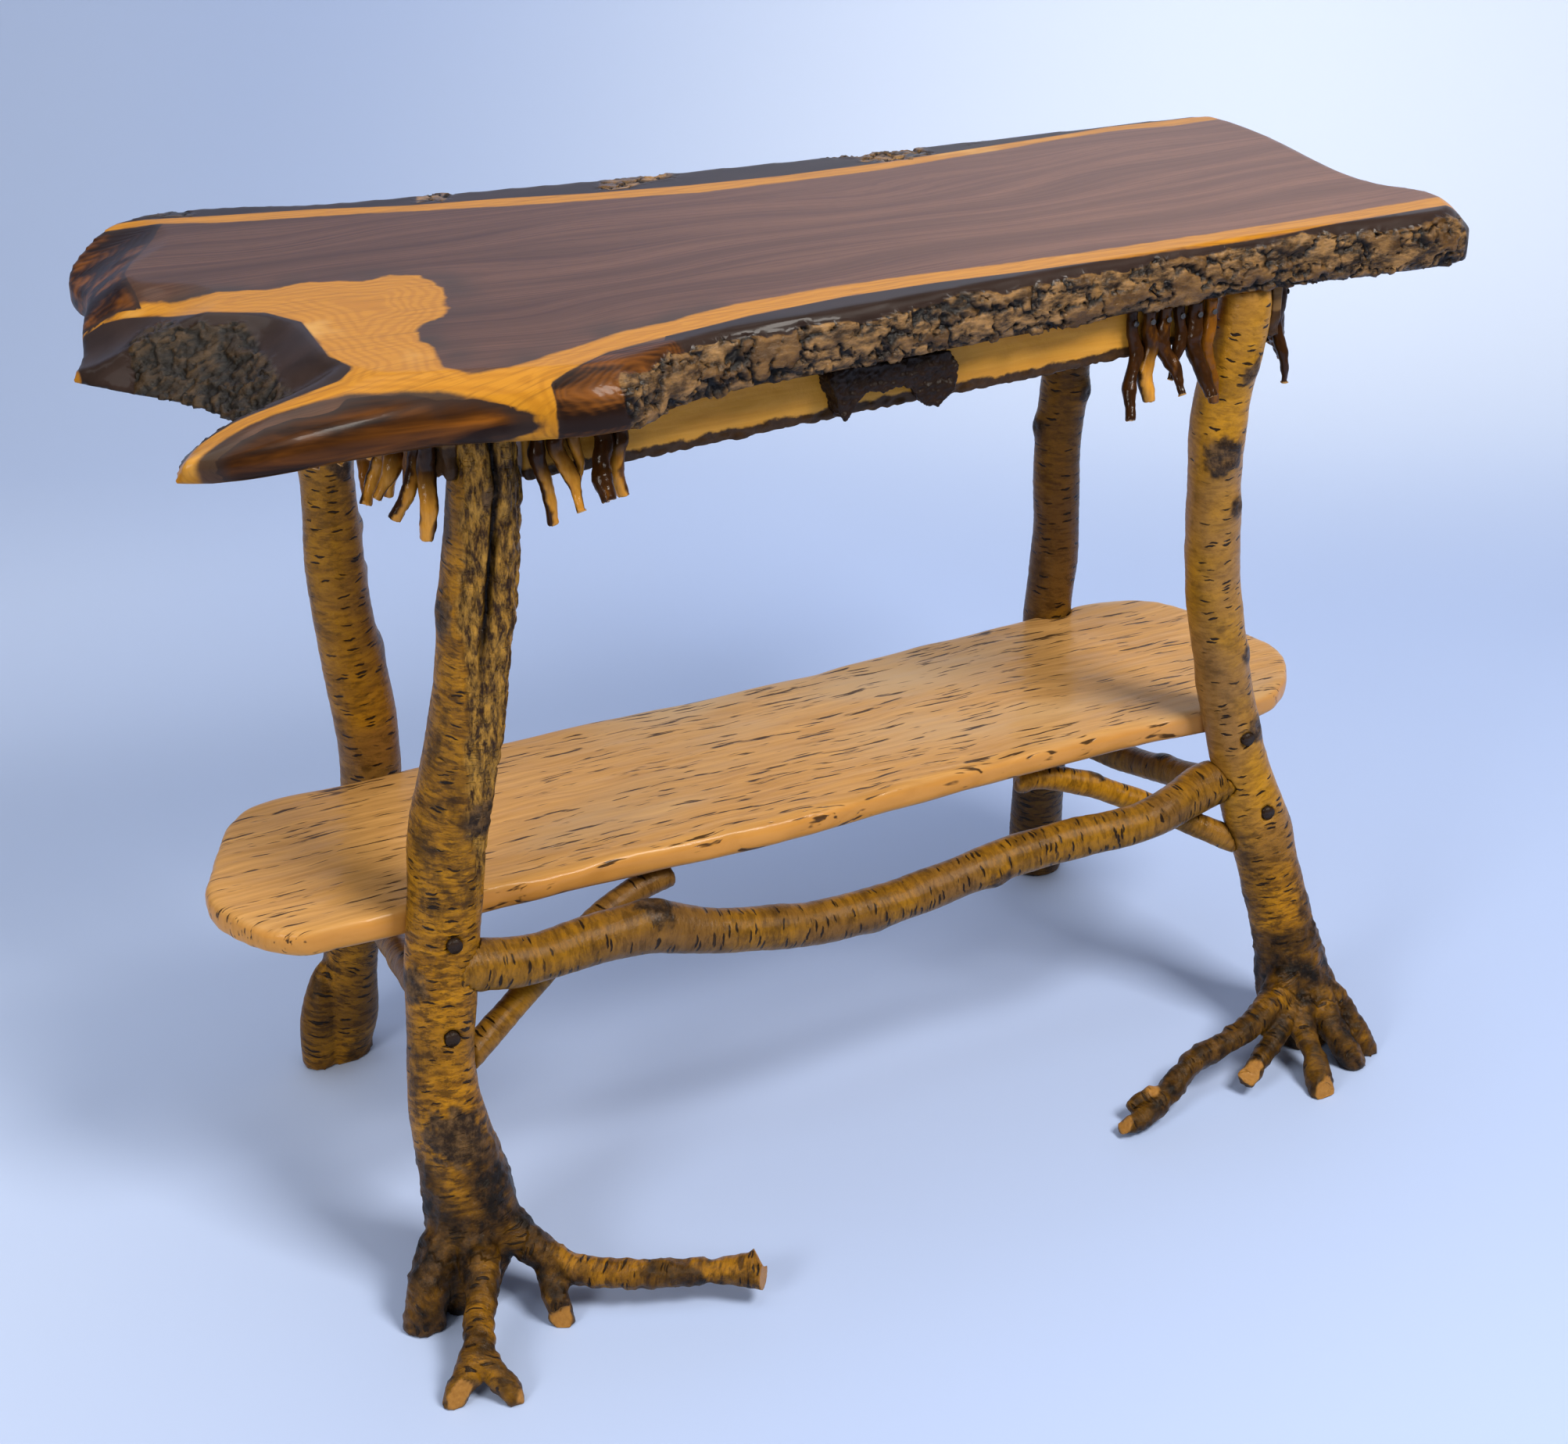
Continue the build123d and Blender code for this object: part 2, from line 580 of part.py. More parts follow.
# ---------------------------------------------------------------- the drawer
DRAWER_LEVEL = UNDERSIDE - DRAWER_TOP_GAP
DRAWER_BACK_FACE = DRAWER_FRONT_PLANE + DRAWER_FRONT_THICKNESS
DRAWER_END = DRAWER_BACK_FACE + DRAWER_LENGTH
SIDE_LET_IN = 8.0
BACK_LET_IN = 5.0
PANEL_LET_IN = 5.0
PANEL_RISE = 5.0
BOX_TOP = DRAWER_LEVEL - 5.0
BOX_LOW = BOX_TOP - DRAWER_BOX_HEIGHT
RUNNER_LEVEL = BOX_TOP - DRAWER_BOX_HEIGHT * 0.4


def drawer_span():
    """Left and right ends of the drawer front between the trunks."""
    level = UNDERSIDE - DRAWER_FRONT_HEIGHT / 2
    ends = []
    for name, inward in (("front_left", 1), ("front_right", -1)):
        nearest = [trunk_at(name, level + step) for step in (-28, -14, 0, 14, 28)]
        faces = [inward * (x + inward * radius) for x, _, _, radius in nearest]
        ends.append(inward * (max(faces) + DRAWER_END_GAP))
    return ends


def box_span():
    """Outer faces of the drawer's sides, inside the guides."""
    left, right = drawer_span()
    room = GUIDE_WIDTH + GUIDE_GAP + GUIDE_TO_FRONT_END
    return left + room, right - room


def drawer_front():
    """Live-edged front board with housings for the sides and the bottom."""
    left, right = drawer_span()
    low = DRAWER_LEVEL - DRAWER_FRONT_HEIGHT
    wave = [(left, low - 7), (mix(left, right, 0.2), low - 5), (mix(left, right, 0.45), low + 1),
            (mix(left, right, 0.7), low + 5), (right, low + 17)]
    edges = [Spline(*wave), Line(wave[-1], (right, DRAWER_LEVEL)),
             Line((right, DRAWER_LEVEL), (left, DRAWER_LEVEL)), Line((left, DRAWER_LEVEL), wave[0])]
    upright = Plane(origin=(0, DRAWER_FRONT_PLANE, 0), x_dir=(1, 0, 0), z_dir=(0, -1, 0))
    board = extrude(upright * make_face(edges), -DRAWER_FRONT_THICKNESS)
    for side in ("left", "right"):
        board -= drawer_side(side, FIT)
    return board - drawer_bottom(FIT)


def drawer_side(side, gap=0.0):
    """One side, let into the front, grooved outside for its runner."""
    left, right = box_span()
    outer = left if side == "left" else right
    inner = outer + (DRAWER_SIDE_THICKNESS if side == "left" else -DRAWER_SIDE_THICKNESS)
    low = (min(outer, inner) - gap, DRAWER_BACK_FACE - SIDE_LET_IN - gap, BOX_LOW - gap)
    high = (max(outer, inner) + gap, DRAWER_END, BOX_TOP + gap)
    board = block(low, high)
    if gap:
        return board
    board -= runner_strip(side, FIT, DRAWER_LENGTH * 2)
    board -= drawer_back(FIT)
    return board - drawer_bottom(FIT)


def drawer_back(gap=0.0):
    """Back board, let into the sides."""
    left, right = box_span()
    inset = DRAWER_SIDE_THICKNESS - BACK_LET_IN
    far = DRAWER_END - DRAWER_TAIL
    low = (left + inset - gap, far - DRAWER_SIDE_THICKNESS - gap, BOX_LOW + PANEL_RISE - gap)
    high = (right - inset + gap, far + gap, BOX_TOP + gap)
    board = block(low, high)
    return board if gap else board - drawer_bottom(FIT)


def drawer_bottom(gap=0.0):
    """Panel held in grooves of the front, the sides and the back."""
    left, right = box_span()
    inset = DRAWER_SIDE_THICKNESS - PANEL_LET_IN
    level = BOX_LOW + PANEL_RISE
    far = DRAWER_END - DRAWER_TAIL - DRAWER_SIDE_THICKNESS + PANEL_LET_IN
    low = (left + inset - gap, DRAWER_BACK_FACE - PANEL_LET_IN - gap, level - gap)
    high = (right - inset + gap, far + gap, level + DRAWER_BOTTOM_THICKNESS + gap)
    return block(low, high)


def runner_strip(side, gap=0.0, length=DRAWER_LENGTH):
    """Strip fixed to the guide, running in the side's groove."""
    left, right = box_span()
    outer = left if side == "left" else right
    outward = -1 if side == "left" else 1
    guide_face = outer + outward * GUIDE_GAP
    tip = outer - outward * (RUNNER_REACH + gap)
    front = DRAWER_BACK_FACE + GUIDE_INSET - gap
    low = (min(guide_face, tip), front, RUNNER_LEVEL - RUNNER_HEIGHT / 2 - gap)
    high = (max(guide_face, tip), DRAWER_BACK_FACE + length, RUNNER_LEVEL + RUNNER_HEIGHT / 2 + gap)
    return block(low, high)


def drawer_guide(side):
    """Bearer screwed up to the slab beside the drawer."""
    left, right = box_span()
    outer = left - GUIDE_GAP if side == "left" else right + GUIDE_GAP
    outward = -GUIDE_WIDTH if side == "left" else GUIDE_WIDTH
    low = (min(outer, outer + outward), DRAWER_BACK_FACE + GUIDE_INSET, BOX_LOW)
    high = (max(outer, outer + outward), DRAWER_BACK_FACE + DRAWER_LENGTH, UNDERSIDE)
    return block(low, high)


def drawer_stop_plain():
    """Block under the slab that the drawer's back meets when fully out."""
    left, right = box_span()
    middle = (left + right) / 2
    back_face = DRAWER_END - DRAWER_TAIL - DRAWER_SIDE_THICKNESS
    rear = back_face - DRAWER_TRAVEL - FIT
    low = (middle - STOP_LENGTH / 2, rear - STOP_THICKNESS, BOX_TOP - STOP_DROP)
    high = (middle + STOP_LENGTH / 2, rear, UNDERSIDE)
    return block(low, high)


# burl pull: shares of the width from its middle, shares of its height from the top
PULL_LOBES = [(-0.50, 0.20), (-0.44, 0.52), (-0.36, 0.98), (-0.28, 0.72), (-0.17, 0.50),
              (-0.06, 0.60), (0.06, 0.50), (0.16, 0.66), (0.27, 0.98), (0.40, 0.94),
              (0.48, 0.66), (0.50, 0.22)]


def pull_plane():
    """Upright face that the pull is glued and screwed to."""
    left, right = drawer_span()
    middle = mix(left, right, 0.485)
    return Plane(origin=(middle, DRAWER_FRONT_PLANE, DRAWER_LEVEL - 3.0), x_dir=(1, 0, 0),
                 z_dir=(0, -1, 0))


def drawer_pull():
    """Burl with two lobes and a finger arch between them."""
    points = [(across * PULL_WIDTH, -drop * PULL_HEIGHT) for across, drop in PULL_LOBES]
    edges = [Spline(*points), Line(points[-1], (0.44 * PULL_WIDTH, 0)),
             Line((0.44 * PULL_WIDTH, 0), (-0.44 * PULL_WIDTH, 0)),
             Line((-0.44 * PULL_WIDTH, 0), points[0])]
    burl = extrude(pull_plane() * make_face(edges), PULL_DEPTH)
    grip = pull_plane() * Pos(0, -PULL_HEIGHT, 0) * Rot(0, 90, 0)
    return burl - grip * Cylinder(PULL_HEIGHT * 0.45, PULL_WIDTH * 0.46)


# ---------------------------------------------------------------- fasteners
def leg_screw_lines(name):
    """Place, height and heading of the two screws through one trunk."""
    toward = 1 if name.startswith("front") else -1
    rail_level = SIDE_RAIL_FRONT_HEIGHT if toward > 0 else SIDE_RAIL_BACK_HEIGHT
    lines = []
    for level in (SHELF_UNDERSIDE + SHELF_THICKNESS / 2, rail_level):
        x, y, _, radius = trunk_at(name, level)
        face = y - toward * radius
        lines.append((x, face, level, toward, 2 * radius))
    return lines


def leg_plug(line, gap=0.0):
    """Dark round plug over a screw head, or its bore with a gap."""
    x, face, level, toward, _ = line
    lead = PLUG_DIAMETER if gap else PLUG_PROUD
    start = (x, face - toward * lead, level)
    end = (x, face + toward * (PLUG_LENGTH - PLUG_PROUD), level)
    return rod(start, end, PLUG_DIAMETER / 2 + gap)


def leg_screw(line, gap=0.0):
    """Screw through a trunk into the shelf's edge or a rail's tenon."""
    x, face, level, toward, width = line
    seat = face + toward * (PLUG_LENGTH - PLUG_PROUD)
    neck = seat + toward * SCREW_HEAD_LENGTH
    tip = face + toward * (width + SCREW_BITE)
    head = rod((x, seat, level), (x, neck + toward * gap, level), SCREW_HEAD_DIAMETER / 2 + gap)
    shank = rod((x, neck - toward, level), (x, tip + toward * gap, level), SCREW_DIAMETER / 2 + gap)
    return head + shank


def brace_screw(side, gap=0.0):
    """Screw up through a brace's head into the shelf."""
    stations = brace_stations(side)
    x, y, z, radius = stations[-2]
    foot = (x, y, z - 0.5 * radius)
    tip = (x, y, SHELF_UNDERSIDE + SMALL_SCREW_BITE + gap)
    return rod(foot, tip, SMALL_SCREW_DIAMETER / 2 + gap)


def guide_screws(gap=0.0):
    """Screws that hold the two guides and the stop up to the slab."""
    left, right = box_span()
    middles = (left - GUIDE_GAP - GUIDE_WIDTH / 2, right + GUIDE_GAP + GUIDE_WIDTH / 2)
    screws = []
    for x in middles:
        for share in (0.15, 0.5, 0.85):
            y = DRAWER_BACK_FACE + GUIDE_INSET + share * (DRAWER_LENGTH - GUIDE_INSET)
            foot = (x, y, BOX_LOW)
            tip = (x, y, UNDERSIDE + SMALL_SCREW_BITE + gap)
            screws.append(rod(foot, tip, SMALL_SCREW_DIAMETER / 2 + gap))
    block_box = drawer_stop_plain().bounding_box()
    middle = block_box.center()
    foot = (middle.X, middle.Y, block_box.min.Z)
    tip = (middle.X, middle.Y, UNDERSIDE + SMALL_SCREW_BITE + gap)
    return screws + [rod(foot, tip, SMALL_SCREW_DIAMETER / 2 + gap)]


def pull_dowels(gap=0.0):
    """Two glued dowels between the drawer front and the burl."""
    dowels = []
    for share in (-0.38, 0.38):
        middle = pull_plane() * Pos(share * PULL_WIDTH, -0.42 * PULL_HEIGHT, 0)
        dowels.append(middle * Cylinder(DOWEL_DIAMETER / 2 + gap, DOWEL_LENGTH + 2 * gap))
    return dowels


# ---------------------------------------------------------------- twig fringes
def twig_size(index):
    """Radius, length, stray to the side and flare of one twig, every other one bent out over the rest."""
    radius = (0.86 + 0.14 * sin(2.3 * index)) * TWIG_DIAMETER / 2
    length = (1.0 + 0.20 * sin(1.7 * index + 0.6) + 0.12 * cos(3.9 * index)) * TWIG_LENGTH
    stray = TWIG_STRAY * sin(2.1 * index + 0.4)
    flare = TWIG_SPREAD * (index % 2) + 4.0 + 3.0 * sin(2.9 * index + 1.0)
    return radius, length, stray, flare


def twig_fringe(start, heading, facing, spots, level):
    """Row of twigs nailed to an upright face, with their nails and nail bores."""

    def place(across, out, height):
        spot = start + heading * across + facing * out
        return (spot.X, spot.Y, height)

    twigs = []
    nails = []
    bores = []
    for index, across in enumerate(spots):
        radius, length, stray, flare = twig_size(index)
        out = radius + FIT
        seated = out + 2 * TWIG_SEAT
        stations = [
            (*place(across, out + TWIG_SEAT, level), radius),
            (*place(across, seated, level - 0.30 * length), radius),
            (*place(across, seated + 0.14 * flare, level - 0.50 * length), radius),
            (*place(across + 0.3 * stray, seated + 0.5 * flare, level - 0.75 * length), radius * 0.92),
            (*place(across + stray, seated + flare, level - length), radius * 0.80),
        ]
        nail_level = level - NAIL_DROP
        tip = place(across, -NAIL_BITE, nail_level)
        seat = place(across, out + seated, nail_level)
        crown = place(across, out + seated + NAIL_HEAD_THICKNESS, nail_level)
        bore = rod(crown, tip, NAIL_DIAMETER / 2 + FIT / 3)
        nails.append(rod(crown, tip, NAIL_DIAMETER / 2) + rod(seat, crown, NAIL_HEAD_DIAMETER / 2))
        bores.append(bore)
        twigs.append(limb(stations, side=tuple(facing), level_ends=(0,)) - bore)
    return twigs, nails, bores


def without(body, cuts):
    """Body with every cut taken out of it."""
    for cut in cuts:
        body -= cut
    return body


def build():
    """Make every node and write it."""
    os.makedirs("parts", exist_ok=True)
    leg_roots = {
        "front_left": FRONT_LEFT_ROOTS,
        "front_right": FRONT_RIGHT_ROOTS,
        "back_left": [BACK_LEFT_BURL],
        "back_right": [],
    }
    stretcher = stretcher_stations()
    rails = {side: side_rail_stations(side) for side in ("left", "right")}
    braces = {side: brace_stations(side) for side in ("left", "right")}
    joints = {name: [] for name in TRUNKS}
    pieces = {}

    ends = {
        "stretcher_front": [(stretcher, "front_left"), (stretcher[::-1], "front_right")],
        "side_rail_left": [(rails["left"], "front_left"), (rails["left"][::-1], "back_left")],
        "side_rail_right": [(rails["right"], "front_right"), (rails["right"][::-1], "back_right")],
        "brace_left": [(braces["left"], "front_left")],
        "brace_right": [(braces["right"], "front_right")],
    }
    for piece, joined in ends.items():
        body = scribed(joined[0][0], *[name for _, name in joined])
        if piece.startswith("brace"):
            body -= shelf_zone()
        for stations, name in joined:
            radius = trunk_at(name, stations[0][2])[3]
            body += tenon(stations, radius)
            joints[name].append(tenon(stations, radius, FIT))
        pieces[piece] = body

    shelf = shelf_board()
    plugs = []
    screws = []
    for name in TRUNKS:
        body = without(leg(name, leg_roots[name]), joints[name])
        for line in leg_screw_lines(name):
            body = body - leg_plug(line, FIT) - leg_screw(line, FIT)
            plugs.append(leg_plug(line))
            screws.append(leg_screw(line))
        end, side = name.split("_")
        body -= apron_screws(side, FIT)[0 if end == "front" else 1]
        shelf -= leg_screw(leg_screw_lines(name)[0], FIT)
        pieces[f"side_rail_{side}"] -= leg_screw(leg_screw_lines(name)[1], FIT)
        save(f"leg_{name}", body)
    for side in ("left", "right"):
        shelf -= brace_screw(side, FIT)
        pieces[f"brace_{side}"] -= brace_screw(side, FIT)
    save("brace_screws", brace_screw("left"), brace_screw("right"))
    save("shelf", shelf)
    save("leg_screws", *screws)
    save("leg_plugs", *plugs)
    for piece, body in pieces.items():
        save(piece, body)

    slab = without(top_slab(), [leg_tenon(name, FIT) for name in TRUNKS])
    slab = without(slab, guide_screws(FIT))
    save("top_slab", slab)

    twig_level = UNDERSIDE - TWIG_TOP_GAP
    fringe_nails = []
    for side in ("left", "right"):
        start, heading, facing, length, leg_spot = apron_line(side)
        face = start + facing * (APRON_THICKNESS / 2)
        spots = [step * TWIG_PITCH for step in range(1, int(length / TWIG_PITCH))]
        spots = [spot for spot in spots if abs(spot - leg_spot) > BARE_AT_LEG]
        twigs, nails, bores = twig_fringe(face, heading, facing, spots, twig_level)
        fringe_nails += nails
        save(f"twigs_end_{side}", *twigs)
        save(f"end_apron_{side}", without(end_apron(side), bores + apron_screws(side, FIT)))
    save("twig_nails_end", *fringe_nails)
    save("apron_screws", *apron_screws("left"), *apron_screws("right"))
    save("back_apron", back_apron())

    left, right = drawer_span()
    face = Vector(0, DRAWER_FRONT_PLANE)
    outward = Vector(0, -1)
    fringes = {
        "left": [left + FRINGE_INSET + step * TWIG_PITCH for step in range(LEFT_FRONT_TWIGS)],
        "right": [right - FRINGE_INSET - step * TWIG_PITCH for step in range(RIGHT_FRONT_TWIGS)],
    }
    fringe_nails = []
    fringe_bores = []
    for side, spots in fringes.items():
        twigs, nails, bores = twig_fringe(face, Vector(1, 0), outward, spots, twig_level)
        save(f"twigs_front_{side}", *twigs)
        fringe_nails += nails
        fringe_bores += bores
    save("twig_nails_front", *fringe_nails)
    save("drawer_front", without(drawer_front(), pull_dowels(FIT) + fringe_bores))
    save("drawer_pull", without(drawer_pull(), pull_dowels(FIT)))
    save("pull_dowels", *pull_dowels())
    save("drawer_back", drawer_back())
    save("drawer_bottom", drawer_bottom())
    for side in ("left", "right"):
        save(f"drawer_side_{side}", drawer_side(side))
        save(f"drawer_runner_{side}", runner_strip(side))
        save(f"drawer_guide_{side}", without(drawer_guide(side), guide_screws(FIT)))
    save("drawer_stop", without(drawer_stop_plain(), guide_screws(FIT)))
    save("guide_screws", *guide_screws())


build()
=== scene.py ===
"""Rustic hall table, dressed: live-edge walnut top, birch trunks with roots, twig fringes."""

import json

import bpy
import numpy as np
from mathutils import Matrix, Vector, kdtree

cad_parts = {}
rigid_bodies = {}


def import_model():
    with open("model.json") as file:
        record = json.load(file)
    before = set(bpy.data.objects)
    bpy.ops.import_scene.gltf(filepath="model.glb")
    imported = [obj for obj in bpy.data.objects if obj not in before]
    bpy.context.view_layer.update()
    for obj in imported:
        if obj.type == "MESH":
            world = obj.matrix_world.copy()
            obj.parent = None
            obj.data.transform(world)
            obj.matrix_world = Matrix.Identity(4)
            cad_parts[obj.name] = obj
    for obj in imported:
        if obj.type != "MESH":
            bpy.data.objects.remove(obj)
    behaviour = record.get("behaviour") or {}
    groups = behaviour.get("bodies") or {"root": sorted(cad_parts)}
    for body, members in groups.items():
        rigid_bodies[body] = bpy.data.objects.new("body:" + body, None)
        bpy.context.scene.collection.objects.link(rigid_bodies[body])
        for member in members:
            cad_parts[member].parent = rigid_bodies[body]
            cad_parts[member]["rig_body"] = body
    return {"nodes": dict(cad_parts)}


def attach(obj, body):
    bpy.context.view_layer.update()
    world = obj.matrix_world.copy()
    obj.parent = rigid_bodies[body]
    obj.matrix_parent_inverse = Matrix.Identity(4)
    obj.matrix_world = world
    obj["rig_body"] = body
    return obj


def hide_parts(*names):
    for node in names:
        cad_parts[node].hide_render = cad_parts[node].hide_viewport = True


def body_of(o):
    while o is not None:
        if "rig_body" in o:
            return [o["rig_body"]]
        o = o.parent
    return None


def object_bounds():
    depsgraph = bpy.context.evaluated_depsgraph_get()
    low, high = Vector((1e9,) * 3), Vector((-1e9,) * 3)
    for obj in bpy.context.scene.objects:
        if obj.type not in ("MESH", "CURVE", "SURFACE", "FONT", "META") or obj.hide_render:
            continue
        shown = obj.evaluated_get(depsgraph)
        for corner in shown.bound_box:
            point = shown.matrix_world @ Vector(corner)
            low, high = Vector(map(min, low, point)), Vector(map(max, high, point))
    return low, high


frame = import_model()
cad_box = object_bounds()

# ------------------------------------------------------------------ trunks with roots
# Four young birch stems stand as legs, dug out with their roots at the front.
# The bark stays on: thin and golden, with short dark breathing marks round the
# stem, and is coated with gloss varnish. Each head is tenoned into the slab.


def only(piece):
    """Leaves one object selected and active."""
    bpy.ops.object.select_all(action="DESELECT")
    piece.select_set(True)
    bpy.context.view_layer.objects.active = piece


SAME_POINT = 0.00001


def carve_copy(node, name):
    """Own copy of a plain solid, its loose faces joined into a closed skin."""
    source = frame["nodes"][node]
    piece = bpy.data.objects.new(name, source.data.copy())
    piece.data.name = name
    piece.data.materials.clear()
    bpy.context.scene.collection.objects.link(piece)
    only(piece)
    bpy.ops.object.mode_set(mode="EDIT")
    bpy.ops.mesh.select_all(action="SELECT")
    bpy.ops.mesh.remove_doubles(threshold=SAME_POINT)
    bpy.ops.object.mode_set(mode="OBJECT")
    return piece


def apply_modifier(piece, kind, **settings):
    """Adds one modifier and applies it."""
    only(piece)
    change = piece.modifiers.new(kind.lower(), kind)
    for key, value in settings.items():
        setattr(change, key, value)
    bpy.ops.object.modifier_apply(modifier=change.name)


def skin(piece, grain_size, smooth=3):
    """Even fine skin over the whole piece, ready for bark and tool marks."""
    apply_modifier(piece, "REMESH", mode="VOXEL", voxel_size=grain_size)
    apply_modifier(piece, "SMOOTH", factor=0.5, iterations=smooth)
    only(piece)
    bpy.ops.object.shade_smooth()


def points_of(piece):
    """Vertex places of a piece, in metres."""
    places = np.empty(len(piece.data.vertices) * 3)
    piece.data.vertices.foreach_get("co", places)
    return places.reshape(-1, 3)


def move_points(piece, places):
    """Puts the vertices of a piece at new places."""
    piece.data.vertices.foreach_set("co", places.ravel())
    piece.data.update()


def facing_of(piece):
    """Outward direction at each vertex."""
    facing = np.empty(len(piece.data.vertices) * 3)
    piece.data.vertex_normals.foreach_get("vector", facing)
    return facing.reshape(-1, 3)


def push_out(piece, lift):
    """Moves the skin of a piece outward by a distance at each vertex."""
    move_points(piece, points_of(piece) + facing_of(piece) * lift[:, None])


def mark(piece, **named):
    """Stores numbers, or places, at the vertices under their names for the finish to read."""
    for name, values in named.items():
        values = np.asarray(values, np.float32)
        if values.ndim == 0:
            values = np.full(len(piece.data.vertices), values)
        if values.ndim == 1:
            layer = piece.data.attributes.new(name, "FLOAT", "POINT")
            layer.data.foreach_set("value", values)
        else:
            layer = piece.data.attributes.new(name, "FLOAT_VECTOR", "POINT")
            layer.data.foreach_set("vector", values.ravel())


def ease(low, high, values):
    """Soft step from 0 at low to 1 at high."""
    share = np.clip((np.asarray(values, float) - low) / (high - low), 0, 1)
    return share * share * (3 - 2 * share)


FULL_TURN = 6.283
WAVES_PER_OCTAVE = 7


def waves(places, size, seed, octaves=3):
    """Smooth uneven swell over space, about -1 to 1: each octave is finer and weaker."""
    chance = np.random.default_rng(seed)
    total = np.zeros(len(places))
    strength = 1.0
    for _ in range(octaves):
        for _ in range(WAVES_PER_OCTAVE):
            way = chance.normal(size=3)
            way /= np.linalg.norm(way)
            reach = size * chance.uniform(0.7, 1.5)
            total += strength * np.cos(FULL_TURN * (places @ way) / reach + chance.uniform(0, 6.3))
        size /= 2.1
        strength *= 0.55
    return total / (WAVES_PER_OCTAVE / 2)


FEWEST_PLATES, MOST_PLATES = 40, 60000


def cells(places, size, seed, stretch):
    """Gap to the nearest crack between scattered plates, and a number for each plate."""
    chance = np.random.default_rng(seed)
    spots = places / np.asarray(stretch)
    low = spots.min(0) - size
    span = spots.max(0) + size - low
    count = int(np.clip(np.prod(np.ceil(span / size)), FEWEST_PLATES, MOST_PLATES))
    seeds = low + chance.random((count, 3)) * span
    tree = kdtree.KDTree(count)
    for index, spot in enumerate(seeds):
        tree.insert(spot, index)
    tree.balance()
    crack = np.empty(len(spots))
    plate = np.empty(len(spots))
    tone = chance.random(count)
    for index, spot in enumerate(spots):
        near, far = tree.find_n(spot, 2)
        crack[index] = (far[2] - near[2]) / size
        plate[index] = tone[near[1]]
    return crack, plate


STEM_STEPS = 60


def stem_places(piece, axis, foot):
    """Vertex places on the straightened stem: two round it and one along it."""
    places = points_of(piece)
    along = places[:, axis]
    edges = np.linspace(max(along.min(), foot), along.max(), STEM_STEPS + 1)
    middles = []
    for low, high in zip(edges, edges[1:]):
        ring = places[(along >= low) & (along <= high)]
        middles.append((ring.min(0) + ring.max(0)) / 2 if len(ring) else middles[-1])
    middles = np.array(middles)
    for _ in range(4):
        middles[1:-1] = (middles[:-2] + 2 * middles[1:-1] + middles[2:]) / 4
    heading = np.gradient(middles, axis=0)
    pace = np.linalg.norm(heading, axis=1)
    heading /= pace[:, None]
    reach = np.concatenate([[0], np.cumsum(np.linalg.norm(np.diff(middles, axis=0), axis=1))])
    spots = middles[:, axis]
    middle = np.stack([np.interp(along, spots, middles[:, k]) for k in range(3)], axis=1)
    way = np.stack([np.interp(along, spots, heading[:, k]) for k in range(3)], axis=1)
    offset = places - middle
    offset[:, axis] = np.where(along < spots[0], along - spots[0], 0)
    on_line = (offset * way).sum(1)
    length = np.interp(along, spots, reach) + on_line
    offset -= way * on_line[:, None]
    others = [k for k in range(3) if k != axis]
    thick = np.linalg.norm(offset, axis=1)
    turn = offset[:, others] / np.maximum(thick, 1e-6)[:, None]
    return np.column_stack([turn * np.median(thick), length])


def feed(tree, made, values):
    """Sets or joins the inputs of a shader node; a name reads the number stored on the piece."""
    for key, value in values.items():
        if isinstance(value, str):
            value = stored(tree, value)
        if isinstance(value, bpy.types.NodeSocket):
            tree.links.new(value, made.inputs[key])
        else:
            made.inputs[key].default_value = value


def add(tree, kind, values=None, out=0, **settings):
    """One shader node with its inputs fed; gives back an output."""
    made = tree.nodes.new("ShaderNode" + kind)
    for key, value in settings.items():
        setattr(made, key, value)
    feed(tree, made, values or {})
    return made.outputs[out]


MIX_LOW, MIX_HIGH, MIX_RESULT = 6, 7, 2


def blend_colour(tree, share, low, high):
    """Mixes two colours: share 0 gives low, share 1 gives high."""
    low, high = [c if isinstance(c, bpy.types.NodeSocket) else (*c, 1.0) for c in (low, high)]
    return add(tree, "Mix", {0: share, MIX_LOW: low, MIX_HIGH: high}, MIX_RESULT, data_type="RGBA")


def sums(tree, how, one, two=0.0, three=0.0):
    """One sum on plain numbers."""
    return add(tree, "Math", {0: one, 1: two, 2: three}, operation=how)


def times(tree, value, factor, plus=0.0):
    """A value times a factor, plus a third."""
    return sums(tree, "MULTIPLY_ADD", value, factor, plus)


def tinted(tree, base, mask, strength, colour):
    """Lays a colour over a base where a mask is high, up to a given strength."""
    return blend_colour(tree, times(tree, mask, strength), base, colour)


def step(tree, value, low, high):
    """Soft 0 to 1 step of a value."""
    values = {"Value": value, "From Min": low, "From Max": high}
    return add(tree, "MapRange", values, interpolation_type="SMOOTHSTEP")


def ramp(tree, value, low, high, first, last):
    """Colour that turns from a first one to a last as a value steps up from low to high."""
    return blend_colour(tree, step(tree, value, low, high), first, last)


def stored(tree, name, out="Fac"):
    """Reads a number, or a place, stored on the piece."""
    return add(tree, "Attribute", out=out, attribute_name=name)


def stretched(tree, place, scale):
    """Place pulled out along some ways."""
    return add(tree, "Mapping", {"Vector": place, "Scale": scale})


def noise(tree, place, scale, detail=4.0, rough=0.55, bend=0.0):
    """Cloudy value from 0 to 1; three scales stretch it along the axes."""
    if isinstance(scale, tuple):
        place, scale = stretched(tree, place, scale), 1.0
    values = {"Vector": place, "Scale": scale, "Detail": detail, "Roughness": rough,
              "Distortion": bend}
    return add(tree, "TexNoise", values)


